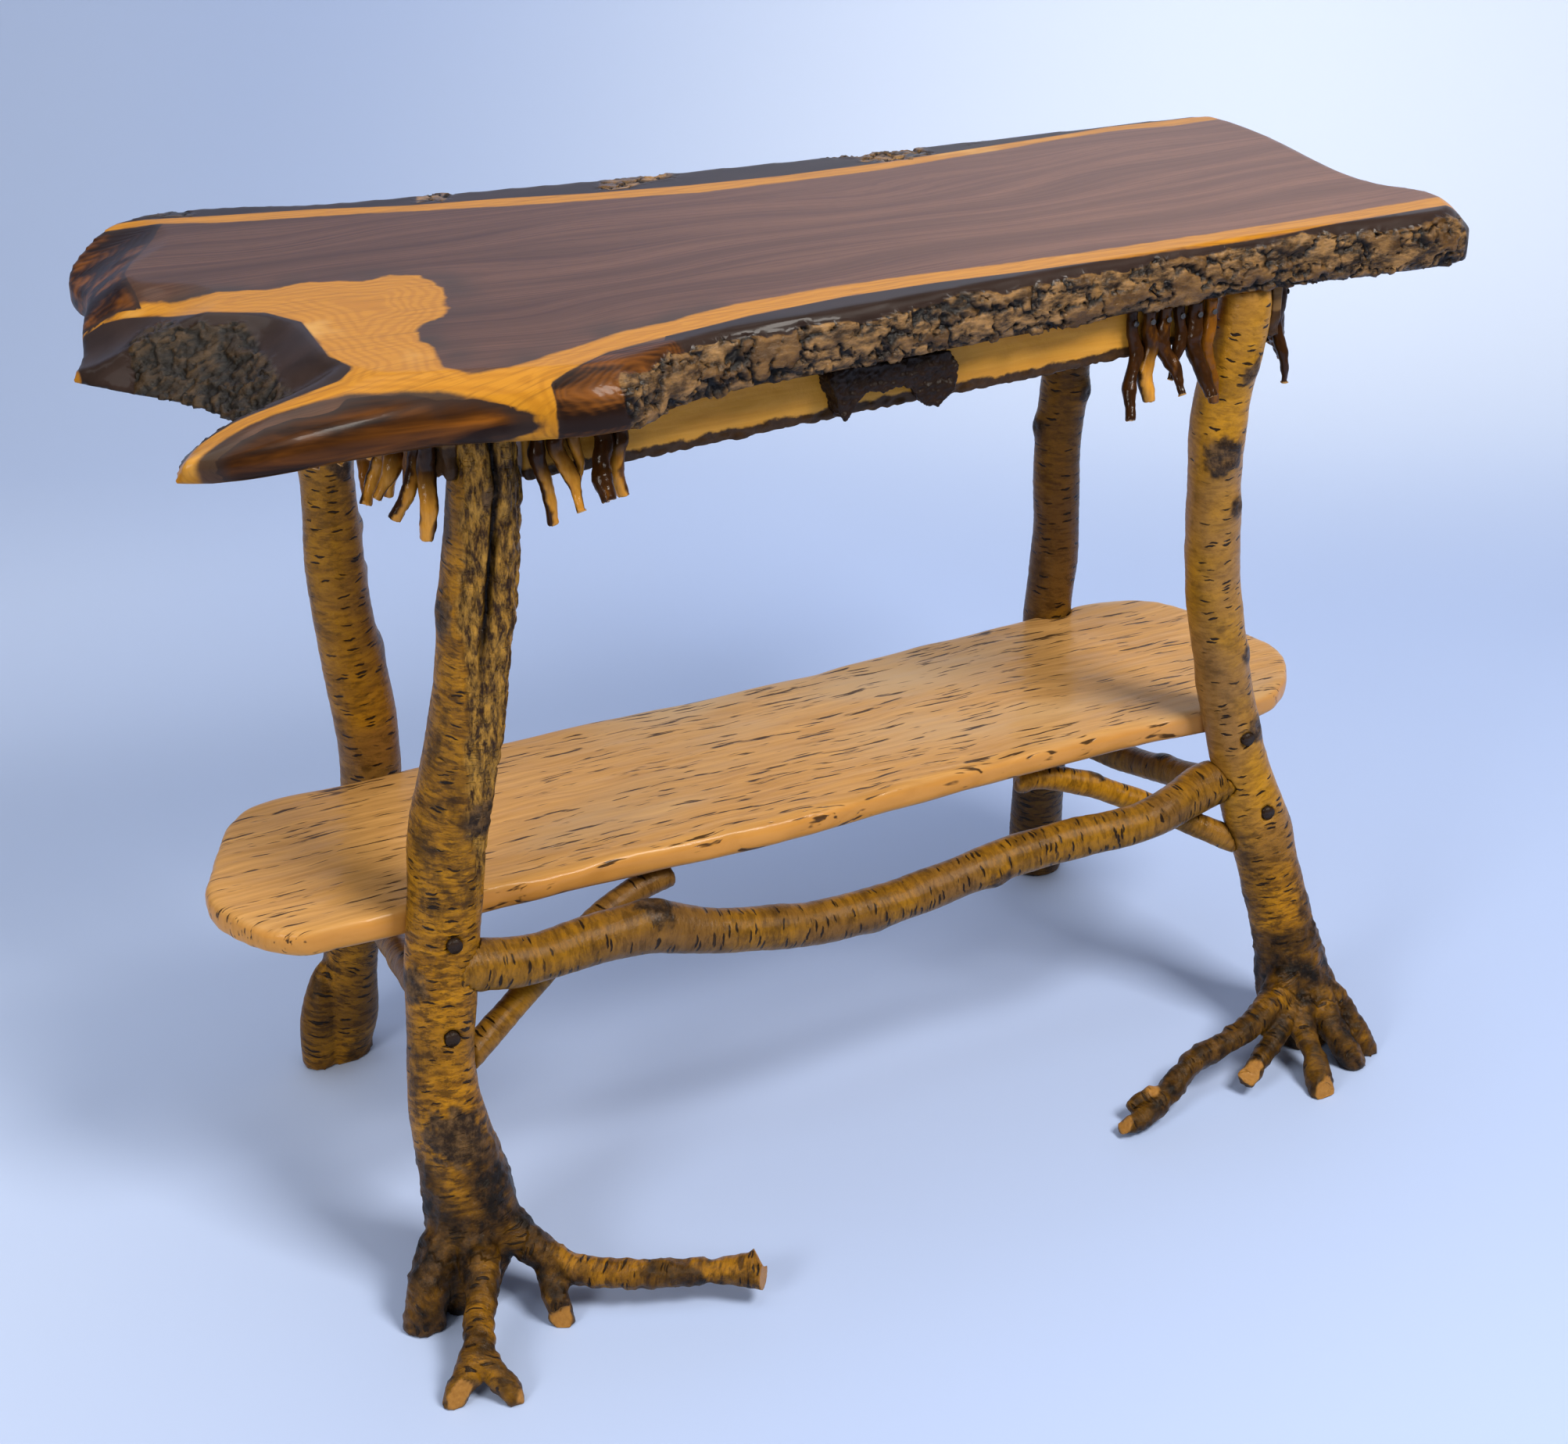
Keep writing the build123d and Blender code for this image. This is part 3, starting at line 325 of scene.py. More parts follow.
def new_group(name, inputs, outputs):
    """Empty shared effect with named sockets."""
    tree = bpy.data.node_groups.new(name, "ShaderNodeTree")
    for label, kind, value in inputs:
        socket = tree.interface.new_socket(label, in_out="INPUT", socket_type="NodeSocket" + kind)
        if value is not None:
            socket.default_value = value
    for label, kind in outputs:
        tree.interface.new_socket(label, in_out="OUTPUT", socket_type="NodeSocket" + kind)
    return tree, tree.nodes.new("NodeGroupInput"), tree.nodes.new("NodeGroupOutput")


def use_group(tree, group, values):
    """Places a shared effect in a finish."""
    made = tree.nodes.new("ShaderNodeGroup")
    made.node_tree = group
    feed(tree, made, values)
    return made.outputs


# shine of the bare surface under any varnish
SHEEN = 0.07


def new_finish(name, rough, coat=0.0, coat_rough=0.1):
    """Material with one surface shader, its plain numbers set; also gives places on the piece."""
    made = bpy.data.materials.new(name)
    made.use_nodes = True
    tree = made.node_tree
    surface = tree.nodes["Principled BSDF"]
    surface.inputs["Specular IOR Level"].default_value = SHEEN
    surface.inputs["Roughness"].default_value = rough
    surface.inputs["Coat Weight"].default_value = coat
    surface.inputs["Coat Roughness"].default_value = coat_rough
    return made, tree, surface, add(tree, "TexCoord", out="Object")


def finish_with(tree, surface, colour, height=None, depth=0.001):
    """Joins colour and relief to the surface shader."""
    tree.links.new(colour, surface.inputs["Base Color"])
    if height is not None:
        relief = add(tree, "Bump", {"Height": height, "Distance": depth, "Strength": 1.0})
        tree.links.new(relief, surface.inputs["Normal"])
        tree.links.new(relief, surface.inputs["Coat Normal"])


# short dark dashes round the stem, cloudy stains and fine rings
breathing_marks, marks_in, marks_out = new_group(
    "breathing_marks",
    [("Place", "Vector", None), ("Amount", "Float", 0.5)],
    [("Dash", "Float"), ("Stain", "Float"), ("Ring", "Float")],
)
tree = breathing_marks
place = marks_in.outputs["Place"]
wobble = noise(tree, place, 45.0, 3.0)
shifted = add(tree, "CombineXYZ", {"Z": times(tree, wobble, 0.012)})
wobbled = add(tree, "VectorMath", {0: place, 1: shifted}, operation="ADD")
wide = stretched(tree, wobbled, (58.0, 58.0, 300.0))
dots = add(tree, "TexVoronoi", {"Vector": wide, "Scale": 1.0, "Randomness": 1.0}, "Distance")
chosen = add(tree, "TexVoronoi", {"Vector": wide, "Scale": 1.0, "Randomness": 1.0}, "Color")
chance = add(tree, "SeparateColor", {"Color": chosen}, 0)
picked = step(tree, sums(tree, "ADD", chance, marks_in.outputs["Amount"]), 0.92, 1.0)
thin = step(tree, dots, 0.40, 0.29)
dash = times(tree, thin, picked)
tree.links.new(dash, marks_out.inputs["Dash"])
clouds = noise(tree, place, (24.0, 24.0, 19.2), 6.0, 0.66)
stain = step(tree, clouds, 0.50, 0.66)
tree.links.new(stain, marks_out.inputs["Stain"])
ring = noise(tree, wobbled, (30.0, 30.0, 150.0), 6.0, 0.68)
tree.links.new(ring, marks_out.inputs["Ring"])

birch, tree, surface, object_place = new_finish("varnished_birch_bark", 0.34, 0.22, 0.10)
place = stored(tree, "stem", "Vector")
marks = use_group(tree, breathing_marks, {"Place": place, "Amount": 0.24})
fine = noise(tree, object_place, 420.0, 4.0, 0.7)
broad = noise(tree, object_place, 9.0, 3.0, 0.5)
scaly_share = times(tree, "smooth_bark", -0.80, 1.0)
gold = ramp(tree, marks["Ring"], 0.30, 0.64, (0.170, 0.066, 0.002), (0.66, 0.285, 0.006))
# smooth bark: gold mixed in cloudy patches with a pale greyish pink that is partly a painted
# highlight
smooth_and_sheen = ramp(tree, broad, 0.40, 0.62, (0.50, 0.240, 0.016), (0.40, 0.205, 0.062))
smooth_and_sheen = tinted(tree, smooth_and_sheen, step(tree, marks["Ring"], 0.62, 0.34), 0.35, (0.24, 0.100, 0.010))
gold = tinted(tree, gold, step(tree, broad, 0.42, 0.62), 0.70, (0.18, 0.078, 0.004))
gold = blend_colour(tree, "smooth_bark", gold, smooth_and_sheen)
gold = tinted(tree, gold, fine, times(tree, scaly_share, 0.45), (0.080, 0.030, 0.002))
mottle = noise(tree, place, (68.0, 68.0, 204.0), 5.0, 0.70, 0.4)
mottled = times(tree, step(tree, mottle, 0.47, 0.62), scaly_share)
gold = tinted(tree, gold, mottled, 0.78, (0.050, 0.020, 0.001))
stain = times(tree, marks["Stain"], 0.80)
stained = tinted(tree, gold, stain, scaly_share, (0.030, 0.013, 0.001))
dashed = tinted(tree, stained, marks["Dash"], 0.95, (0.006, 0.003, 0.001))
fibrous = noise(tree, object_place, (170.0, 170.0, 59.5), 6.0, 0.72)
scaly = ramp(tree, fibrous, 0.38, 0.68, (0.030, 0.011, 0.001), (0.54, 0.275, 0.040))
# painted shade: the sunk cleft is painted near-black
scaly = blend_colour(tree, "cleft", scaly, (0.006, 0.003, 0.002))
old = blend_colour(tree, "old_bark", dashed, scaly)
rootlet = noise(tree, object_place, 60.0, 6.0, 0.72)
# the root crowns turn near-black towards the floor, with lighter ridges
low_root_colour = ramp(tree, rootlet, 0.42, 0.78, (0.008, 0.004, 0.001), (0.15, 0.066, 0.010))
scab = ramp(tree, rootlet, 0.40, 0.70, (0.022, 0.011, 0.004), (0.20, 0.105, 0.035))
old = blend_colour(tree, "scab", old, scab)
rooted = blend_colour(tree, "root_dark", old, low_root_colour)
# painted shade: each stem and branch is darkened by its own share
shaded = blend_colour(tree, "shade", rooted, (0.02, 0.011, 0.006))
cut_grain = noise(tree, object_place, 260.0, 3.0)
cut_wood = blend_colour(tree, cut_grain, (0.27, 0.105, 0.016), (0.56, 0.27, 0.055))
colour = blend_colour(tree, "cut_face", shaded, cut_wood)
height = times(tree, marks["Dash"], -0.5, times(tree, marks["Ring"], 0.5))
height = times(tree, fine, 0.5, height)
height = times(tree, mottle, -0.5, height)
height = times(tree, height, scaly_share)
height = times(tree, marks["Dash"], -0.3, height)
finish_with(tree, surface, colour, height, 0.0016)

# knots that stand out of each stem: place along it, turn round it in degrees, size and rise
KNOTS = {
    "front_left": [(0.749, -95, 0.011, 0.003), (0.640, 190, 0.016, 0.004),
                   (0.455, -60, 0.020, 0.005), (0.560, 20, 0.014, 0.004),
                   (0.30, 200, 0.018, 0.004), (0.17, -100, 0.03, 0.006)],
    "front_right": [(0.735, -80, 0.012, 0.004), (0.655, -110, 0.022, 0.006),
                    (0.600, -70, 0.012, 0.004), (0.430, -50, 0.012, 0.004),
                    (0.345, -60, 0.016, 0.004), (0.235, 0, 0.018, 0.004)],
    "back_left": [(0.700, -80, 0.012, 0.004), (0.655, -70, 0.013, 0.004), (0.590, 10, 0.010, 0.005),
                  (0.545, 15, 0.010, 0.005), (0.470, 20, 0.014, 0.005)],
    "back_right": [(0.740, 175, 0.010, 0.006), (0.690, 5, 0.010, 0.007), (0.640, 170, 0.012, 0.007),
                   (0.560, 175, 0.012, 0.006), (0.600, -60, 0.012, 0.005)],
}
# painted shade on each stem, from 0 to 1: how much darker it is painted where less light reaches it
PAINTED_SHADES = {"front_left": 0.10, "front_right": 0.0, "back_left": 0.20, "back_right": 0.50}
# how even the bark is: 0 scaly and mottled, 1 satin smooth
SMOOTHNESS = {"front_left": 0.05, "front_right": 0.75, "back_left": 0.50, "back_right": 0.50}
ROOT_LEVEL = 0.125
# sawn or broken ends of the roots: middle of the cut, way it faces and how far it reaches
ROOT_CUTS = {
    "front_left": [((-0.181, -0.306, 0.028), (0.73, -0.67, 0.10), 0.020),
                   ((-0.180, -0.291, 0.041), (0.91, -0.13, 0.39), 0.013),
                   ((-0.470, -0.314, 0.006), (-0.20, -0.93, 0.30), 0.020),
                   ((-0.421, -0.332, 0.008), (0.50, -0.80, 0.30), 0.018),
                   ((-0.352, -0.259, 0.006), (-0.40, -0.85, 0.30), 0.014)],
    "front_right": [((0.386, -0.239, 0.024), (-0.55, -0.50, 0.67), 0.026),
                    ((0.236, -0.243, 0.012), (-0.80, -0.20, 0.55), 0.018),
                    ((0.455, -0.276, 0.006), (0.05, -0.95, 0.30), 0.020)],
}
BROKEN_KNOB = (0.279, -0.228, 0.030)
# middle of each root crown in plan, height up to which it is darkened towards the floor, share of
# gold on its toes
ROOT_CROWNS = {"front_left": ((-0.404, -0.173), 0.180, 0.80),
               "front_right": ((0.495, -0.161), 0.150, 0.15)}


# bark of stems and branches: grain of its skin, slow swell and close rings
STEM_SKIN, BRANCH_SKIN = 0.0026, 0.0022
SWELL_SIZE, SWELL_RISE = 0.09, 0.0008
RING_SIZE, RING_RISE = 0.009, 0.00018
# toes of the roots: where they start beside the crown, and the highest they reach
TOE_START, TOE_TOP = 0.052, 0.10
CREVICE_SIZE, CREVICE_DEPTH = 0.055, 0.0024
# old bark of the front left stem, in metres and degrees: its middle, how wide it reaches by height,
# and the cleft beside it
OLD_BARK_TURN = -45
OLD_BARK_REACH = ([0.36, 0.50, 0.62, 0.74], [12, 58, 86, 104])
CLEFT_TURN, CLEFT_DEPTH = -91, 0.009
SCALE_SIZE, SCALE_LONG = 0.008, (1, 1, 4.5)


def dress_stem(node, axis, foot, knots, grain_size=STEM_SKIN):
    """Barked stem or branch made over its plain solid."""
    piece = carve_copy(node, node + "_bark")
    skin(piece, grain_size)
    stem = stem_places(piece, axis, foot)
    places = points_of(piece)
    facing = facing_of(piece)
    seed = sum(map(ord, node))
    lift = SWELL_RISE * waves(stem, SWELL_SIZE, seed, 2)
    lift += RING_RISE * waves(stem * (0.25, 0.25, 1), RING_SIZE, seed + 1, 2)
    scab = np.zeros(len(places))
    for level, turn, size, rise in knots:
        spot = np.radians(turn)
        ring = np.median(np.hypot(stem[:, 0], stem[:, 1]))
        way = np.array([np.cos(spot), np.sin(spot)]) * ring
        at = places[:, axis] - level
        gap = np.hypot(np.linalg.norm(stem[:, :2] - way, axis=1), at) / size
        lift += rise * np.exp(-gap**2) - 0.5 * rise * np.exp(-(gap * 3.0) ** 2)
        scab = np.maximum(scab, ease(1.05, 0.75, gap + 0.22 * waves(places, 0.014, seed + 2)))
    mark(piece, scab=scab)
    return piece, stem, places, facing, lift


for side, foot_level in (("front_left", ROOT_LEVEL), ("front_right", ROOT_LEVEL),
                         ("back_left", 0.0), ("back_right", 0.0)):
    node = f"leg_{side}"
    piece, stem, places, facing, lift = dress_stem(node, 2, foot_level, KNOTS[side])
    level = places[:, 2]
    root, old, cut, cleft = np.zeros((4, len(places)))
    if side in ROOT_CROWNS:
        crown, dark_reach, golden = ROOT_CROWNS[side]
        spread = places[:, :2] - crown
        far = np.linalg.norm(spread, axis=1)
        toe = (far > TOE_START + 0.006 * waves(places, 0.04, 14)) & (level < TOE_TOP)
        around = np.arctan2(spread[:, 1], spread[:, 0]) * far
        stem[toe] = np.column_stack([around, level, far])[toe]
        edge = dark_reach + 0.055 * waves(places, 0.09, 5)
        root = ease(edge + 0.02, edge - 0.05, level)
        ridge = np.abs(waves(places * (1.3, 1.3, 0.6), CREVICE_SIZE, 11, 2))
        lift += root * (CREVICE_DEPTH * (0.5 - ridge) + 0.0006 * waves(places, 0.011, 12, 2))
    if side == "front_left":
        turn = np.degrees(np.arctan2(stem[:, 1], stem[:, 0]))
        wide = np.abs(turn - OLD_BARK_TURN)
        wide = np.minimum(wide, 360 - wide)
        reach = np.interp(level, *OLD_BARK_REACH)
        old = ease(6, -6, wide - reach + 9 * waves(places, 0.05, 3)) * ease(0.34, 0.42, level)
        cleft = ease(11, 3, np.abs(turn - CLEFT_TURN + 6 * waves(places * (0, 0, 1), 0.12, 8)))
        cleft *= ease(0.55, 0.64, level)
        lift -= CLEFT_DEPTH * cleft
        crack, plate = cells(places, SCALE_SIZE, 21, SCALE_LONG)
        lift += old * (0.0030 * ease(0.0, 0.45, crack) - 0.0022 + 0.0020 * (plate - 0.5))
    places = places + facing * lift[:, None]
    for middle, way, size in ROOT_CUTS.get(side, ()):
        offset = places - middle
        way = np.array(way) / np.linalg.norm(way)
        beyond = np.where(np.linalg.norm(offset, axis=1) < size, offset @ way, -1.0)
        places -= np.maximum(beyond, 0)[:, None] * way
        cut = np.maximum(cut, ease(-0.0012, 0.0002, beyond))
    if side == "front_right":
        cut = np.maximum(cut, ease(0.009, 0.006, np.linalg.norm(places - BROKEN_KNOB, axis=1)))
    places[:, 2] = np.clip(places[:, 2], 0.0, None)
    move_points(piece, places)
    root *= np.clip(0.86 + 0.30 * waves(places, 0.05, 13), 0.4, 1.0)
    if side in ROOT_CROWNS:
        root *= 1 - golden * ease(0.06, 0.10, far) * ease(0.6, -0.2, waves(places, 0.07, 15))
    smooth = SMOOTHNESS[side] * (1 - ease(0.30, 0.16, level))
    mark(piece, stem=stem, root_dark=root, old_bark=old, cleft=cleft, shade=PAINTED_SHADES[side],
         smooth_bark=smooth, cut_face=cut)
    piece.data.materials.append(birch)
    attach(piece, "root")
    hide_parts(node)

# ------------------------------------------------------------------ stretcher, rails, braces
# Lighter birch branches with their bark on. Their ends are hollowed to the stems
# and tenoned in; the braces run up from the front stems to the shelf's underside.
# each branch: the axis it runs along, its painted shade and its knots
BRANCHES = {
    "stretcher_front": (0, 0.40, [(-0.20, 90, 0.020, 0.007), (0.02, -90, 0.014, 0.004),
                                  (0.15, 200, 0.012, 0.005), (0.31, -60, 0.014, 0.003)]),
    "side_rail_left": (1, 0.35, [(0.0, 90, 0.010, 0.003)]),
    "side_rail_right": (1, 0.45, [(0.02, 90, 0.010, 0.003)]),
    "brace_left": (0, 0.30, [(-0.30, 90, 0.009, 0.003)]),
    "brace_right": (0, 0.12, [(0.30, 90, 0.009, 0.003), (0.225, -90, 0.008, 0.005)]),
}
NO_FOOT = -9.0
for node, (axis, shade, knots) in BRANCHES.items():
    piece, stem, places, facing, lift = dress_stem(node, axis, NO_FOOT, knots, BRANCH_SKIN)
    move_points(piece, places + facing * lift[:, None])
    mark(piece, stem=stem, shade=shade, smooth_bark=0.50, root_dark=0, old_bark=0, cleft=0,
         cut_face=0)
    piece.data.materials.append(birch)
    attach(piece, "root")
    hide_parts(node)

# ------------------------------------------------------------------ plugs and hidden steel
# Dark plugs close the bores over the long screws that hold shelf and rails. The
# other screws and the nails are plain steel, dulled by varnish.
plug_wood, tree, surface, object_place = new_finish("dark_plug", 0.35, 0.12, 0.15)
rings = noise(tree, object_place, (900.0, 90.0, 900.0), 3.0)
finish_with(tree, surface, blend_colour(tree, rings, (0.008, 0.005, 0.004), (0.05, 0.028, 0.016)),
            rings, 0.0004)
dull_steel, tree, surface, object_place = new_finish("dull_steel", 0.45)
surface.inputs["Metallic"].default_value = 1.0
finish_with(tree, surface, blend_colour(tree, noise(tree, object_place, 600.0), (0.05, 0.045, 0.04),
                                        (0.22, 0.20, 0.18)))


def dress_plain(node, material, round_edge=0.0):
    """Small or hidden solid shown as it is, with its edges eased."""
    piece = carve_copy(node, node + "_made")
    if round_edge:
        apply_modifier(piece, "BEVEL", width=round_edge, segments=2, limit_method="ANGLE")
    only(piece)
    bpy.ops.object.shade_smooth_by_angle(angle=0.6)
    piece.data.materials.append(material)
    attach(piece, body_of(frame["nodes"][node])[0])
    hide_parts(node)


dress_plain("leg_plugs", plug_wood)
for node in ("leg_screws", "guide_screws", "apron_screws", "brace_screws", "twig_nails_end",
             "twig_nails_front"):
    dress_plain(node, dull_steel)

# ------------------------------------------------------------------ shelf
# One waney-edged board notched round the front stems and screwed down to the
# rails. Its pale orange wood is full of short dark streaks, and its edge is polished round.
BOARD_SKIN = 0.0030
EDGE_SWELL, FACE_SWELL = 0.0011, 0.0005
piece = carve_copy("shelf", "shelf_board")
skin(piece, BOARD_SKIN, 5)
places = points_of(piece)
rim = ease(0.9, 0.3, np.abs(facing_of(piece)[:, 2]))
lift = EDGE_SWELL * waves(places * (1, 1, 0.6), 0.11, 31) * rim
lift += FACE_SWELL * waves(places * (0.4, 1, 1), 0.035, 32, 2)
push_out(piece, lift)
mark(piece, rim=rim)
shelf_wood, tree, surface, object_place = new_finish("streaked_shelf_wood", 0.30, 0.16, 0.10)
sway = noise(tree, object_place, (5.0, 9.0, 2.0), 3.0)
swayed = add(tree, "VectorMath", {
    0: object_place, 1: add(tree, "CombineXYZ", {"Y": times(tree, sway, 0.03)})},
    operation="ADD")
grain = noise(tree, swayed, (9.0, 210.0, 60.0), 5.0, 0.6)
streak = noise(tree, swayed, (24.0, 300.0, 90.0), 2.5, 0.5)
crowd = noise(tree, object_place, (3.0, 9.0, 3.0), 2.0)
marked = step(tree, times(tree, crowd, 0.14, streak), 0.665, 0.735)
wood = blend_colour(tree, grain, (0.31, 0.130, 0.024), (0.88, 0.48, 0.155))
cloud = noise(tree, object_place, (2.0, 5.0, 2.0), 3.0)
wood = ramp(tree, cloud, 0.42, 0.70, wood, (0.62, 0.40, 0.20))
wood = tinted(tree, wood, "rim", 0.6, (0.62, 0.25, 0.035))
wood = tinted(tree, wood, marked, 0.93, (0.045, 0.022, 0.009))
finish_with(tree, surface, wood, sums(tree, "SUBTRACT", times(tree, grain, 0.3), marked), 0.0005)
piece.data.materials.append(shelf_wood)
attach(piece, "root")
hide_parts("shelf")

# ------------------------------------------------------------------ aprons
# Sawn boards with a live lower edge close the two ends and the back under the
# slab. They are screwed to the heads of the stems.
def low_edge_of(places, axis, steps=60):
    """Height of each place over the piece's own lower edge."""
    along = places[:, axis]
    edges = np.linspace(along.min(), along.max(), steps + 1)
    spots = (edges[:-1] + edges[1:]) / 2
    lows = np.full(steps, np.nan)
    for order, (low, high) in enumerate(zip(edges, edges[1:])):
        near = (along >= low) & (along <= high)
        if near.any():
            lows[order] = places[near, 2].min()
    known = ~np.isnan(lows)
    return places[:, 2] - np.interp(along, spots[known], lows[known])


def live_board_finish(name, pale, deep, bark_top, grain_way, rough):
    """Varnished board whose lower edge still carries dark bark."""
    made, tree, surface, object_place = new_finish(name, rough, 0.14, 0.14)
    grain = noise(tree, object_place, grain_way, 5.0, 0.6, 0.6)
    wood = blend_colour(tree, grain, deep, pale)
    fibre = noise(tree, object_place, tuple(5 * w for w in grain_way), 3.0)
    wood = tinted(tree, wood, fibre, 0.35, deep)
    ragged = times(tree, noise(tree, object_place, 70.0, 4.0), -0.012, "low_edge")
    share = step(tree, ragged, bark_top, bark_top - 0.003)
    bark = blend_colour(tree, noise(tree, object_place, 160.0, 5.0, 0.7), (0.008, 0.004, 0.003),
                        (0.10, 0.050, 0.020))
    finish_with(tree, surface, blend_colour(tree, share, wood, bark),
                noise(tree, object_place, 200.0, 5.0, 0.7), 0.0006)
    return made


APRON_BARK_RISE = 0.0016
apron_wood = live_board_finish("apron_board", (0.36, 0.20, 0.07), (0.09, 0.045, 0.016), 0.022,
                               (9.0, 9.0, 150.0), 0.34)
for node, axis in (("end_apron_left", 1), ("end_apron_right", 1), ("back_apron", 0)):
    piece = carve_copy(node, node + "_board")
    skin(piece, BOARD_SKIN)
    places = points_of(piece)
    height = low_edge_of(places, axis)
    rough = ease(0.026, 0.012, height)
    lift = APRON_BARK_RISE * rough * waves(places, 0.016, 44)
    lift += 0.0004 * waves(places, 0.09, 45)
    push_out(piece, lift)
    mark(piece, low_edge=height)
    piece.data.materials.append(apron_wood)
    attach(piece, "root")
    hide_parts(node)

# ------------------------------------------------------------------ drawer box and its runners
# Plain pale boards glued to a tray. It slides between two guides on two runners
# that are screwed under the slab, and a stop at the back ends its travel.
box_wood, tree, surface, object_place = new_finish("plain_box_wood", 0.5, 0.15, 0.3)
grain = noise(tree, object_place, (14.0, 30.0, 160.0), 4.0, 0.55, 0.4)
finish_with(tree, surface, blend_colour(tree, grain, (0.30, 0.17, 0.07), (0.60, 0.42, 0.22)), grain,
            0.0003)
for node in ("drawer_side_left", "drawer_side_right", "drawer_back", "drawer_bottom",
             "drawer_runner_left", "drawer_runner_right", "drawer_guide_left",
             "drawer_guide_right", "drawer_stop", "pull_dowels"):
    dress_plain(node, box_wood, 0.0007)

# ------------------------------------------------------------------ drawer front and its pull
# A golden board with dark bark left along its lower edge fronts the drawer. A
# dark burl, hollowed below for the fingers, is pegged on as the pull.
FRONT_SKIN, PULL_SKIN = 0.0022, 0.0013
FRONT_PLATE_SIZE, FRONT_BARK_RISE, FRONT_BARK_BED = 0.010, 0.0022, 0.0012
front_wood = live_board_finish("golden_front", (0.92, 0.47, 0.070), (0.52, 0.205, 0.020), 0.006,
                               (7.0, 40.0, 120.0), 0.30)
piece = carve_copy("drawer_front", "drawer_front_board")
skin(piece, FRONT_SKIN)
places = points_of(piece)
height = low_edge_of(places, 0, 120)
rough = ease(0.013, 0.005, height)
crack = cells(places, FRONT_PLATE_SIZE, 51, (1.8, 1, 1))[0]
lift = rough * (FRONT_BARK_RISE * ease(0.0, 0.5, crack) - FRONT_BARK_BED)
lift += 0.0004 * waves(places * (0.5, 1, 1), 0.05, 52)
push_out(piece, lift)
mark(piece, low_edge=height)
piece.data.materials.append(front_wood)
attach(piece, "drawer")
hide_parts("drawer_front")

burl_wood, tree, surface, object_place = new_finish("dark_burl", 0.36, 0.14, 0.2)
swirl = noise(tree, object_place, 55.0, 5.0, 0.6, 1.8)
dark = blend_colour(tree, swirl, (0.004, 0.003, 0.002), (0.032, 0.016, 0.010))
finish_with(tree, surface, dark, noise(tree, object_place, 170.0, 5.0, 0.65), 0.0012)
piece = carve_copy("drawer_pull", "drawer_pull_burl")
skin(piece, PULL_SKIN)
places = points_of(piece)
lift = 0.0014 * waves(places, 0.016, 61) + 0.0008 * waves(places, 0.006, 62, 2)
push_out(piece, lift)
piece.data.materials.append(burl_wood)
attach(piece, "drawer")
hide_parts("drawer_pull")

# ------------------------------------------------------------------ twig fringes
# Short crooked twigs stand side by side along each end and beside the drawer.
# Each is nailed at its head; the low ends are cut clean or split to the yellow wood.
twig_wood, tree, surface, object_place = new_finish("varnished_twigs", 0.34, 0.26, 0.09)
skin_noise = noise(tree, object_place, (130.0, 130.0, 58.5), 5.0, 0.6)
pale = blend_colour(tree, skin_noise, (0.040, 0.012, 0.001), (0.34, 0.118, 0.008))
deep = blend_colour(tree, skin_noise, (0.004, 0.002, 0.001), (0.062, 0.020, 0.003))
blotch = noise(tree, object_place, (75.0, 75.0, 26.25), 4.0, 0.6)
tone = sums(tree, "SUBTRACT", "tone", 0.95)
dark_share = times(tree, blotch, 1.6, tone)
barked = ramp(tree, dark_share, 0.15, 0.62, deep, pale)
fresh = blend_colour(tree, noise(tree, object_place, (420.0, 420.0, 84.0), 3.0),
                     (0.44, 0.160, 0.012), (0.80, 0.38, 0.052))
end_grain = blend_colour(tree, noise(tree, object_place, 300.0, 3.0), (0.50, 0.24, 0.06),
                         (0.80, 0.50, 0.20))
made = blend_colour(tree, "split", barked, fresh)
made = blend_colour(tree, "cut_face", made, end_grain)
finish_with(tree, surface, made, skin_noise, 0.0008)


TWIG_SKIN = 0.0014
SPLIT_SHARE = 0.40
LEAST_BEND, MOST_BEND = 0.003, 0.0065
MOST_LEAN = 0.004
TAPERS = [0.0, 0.10, 0.45]


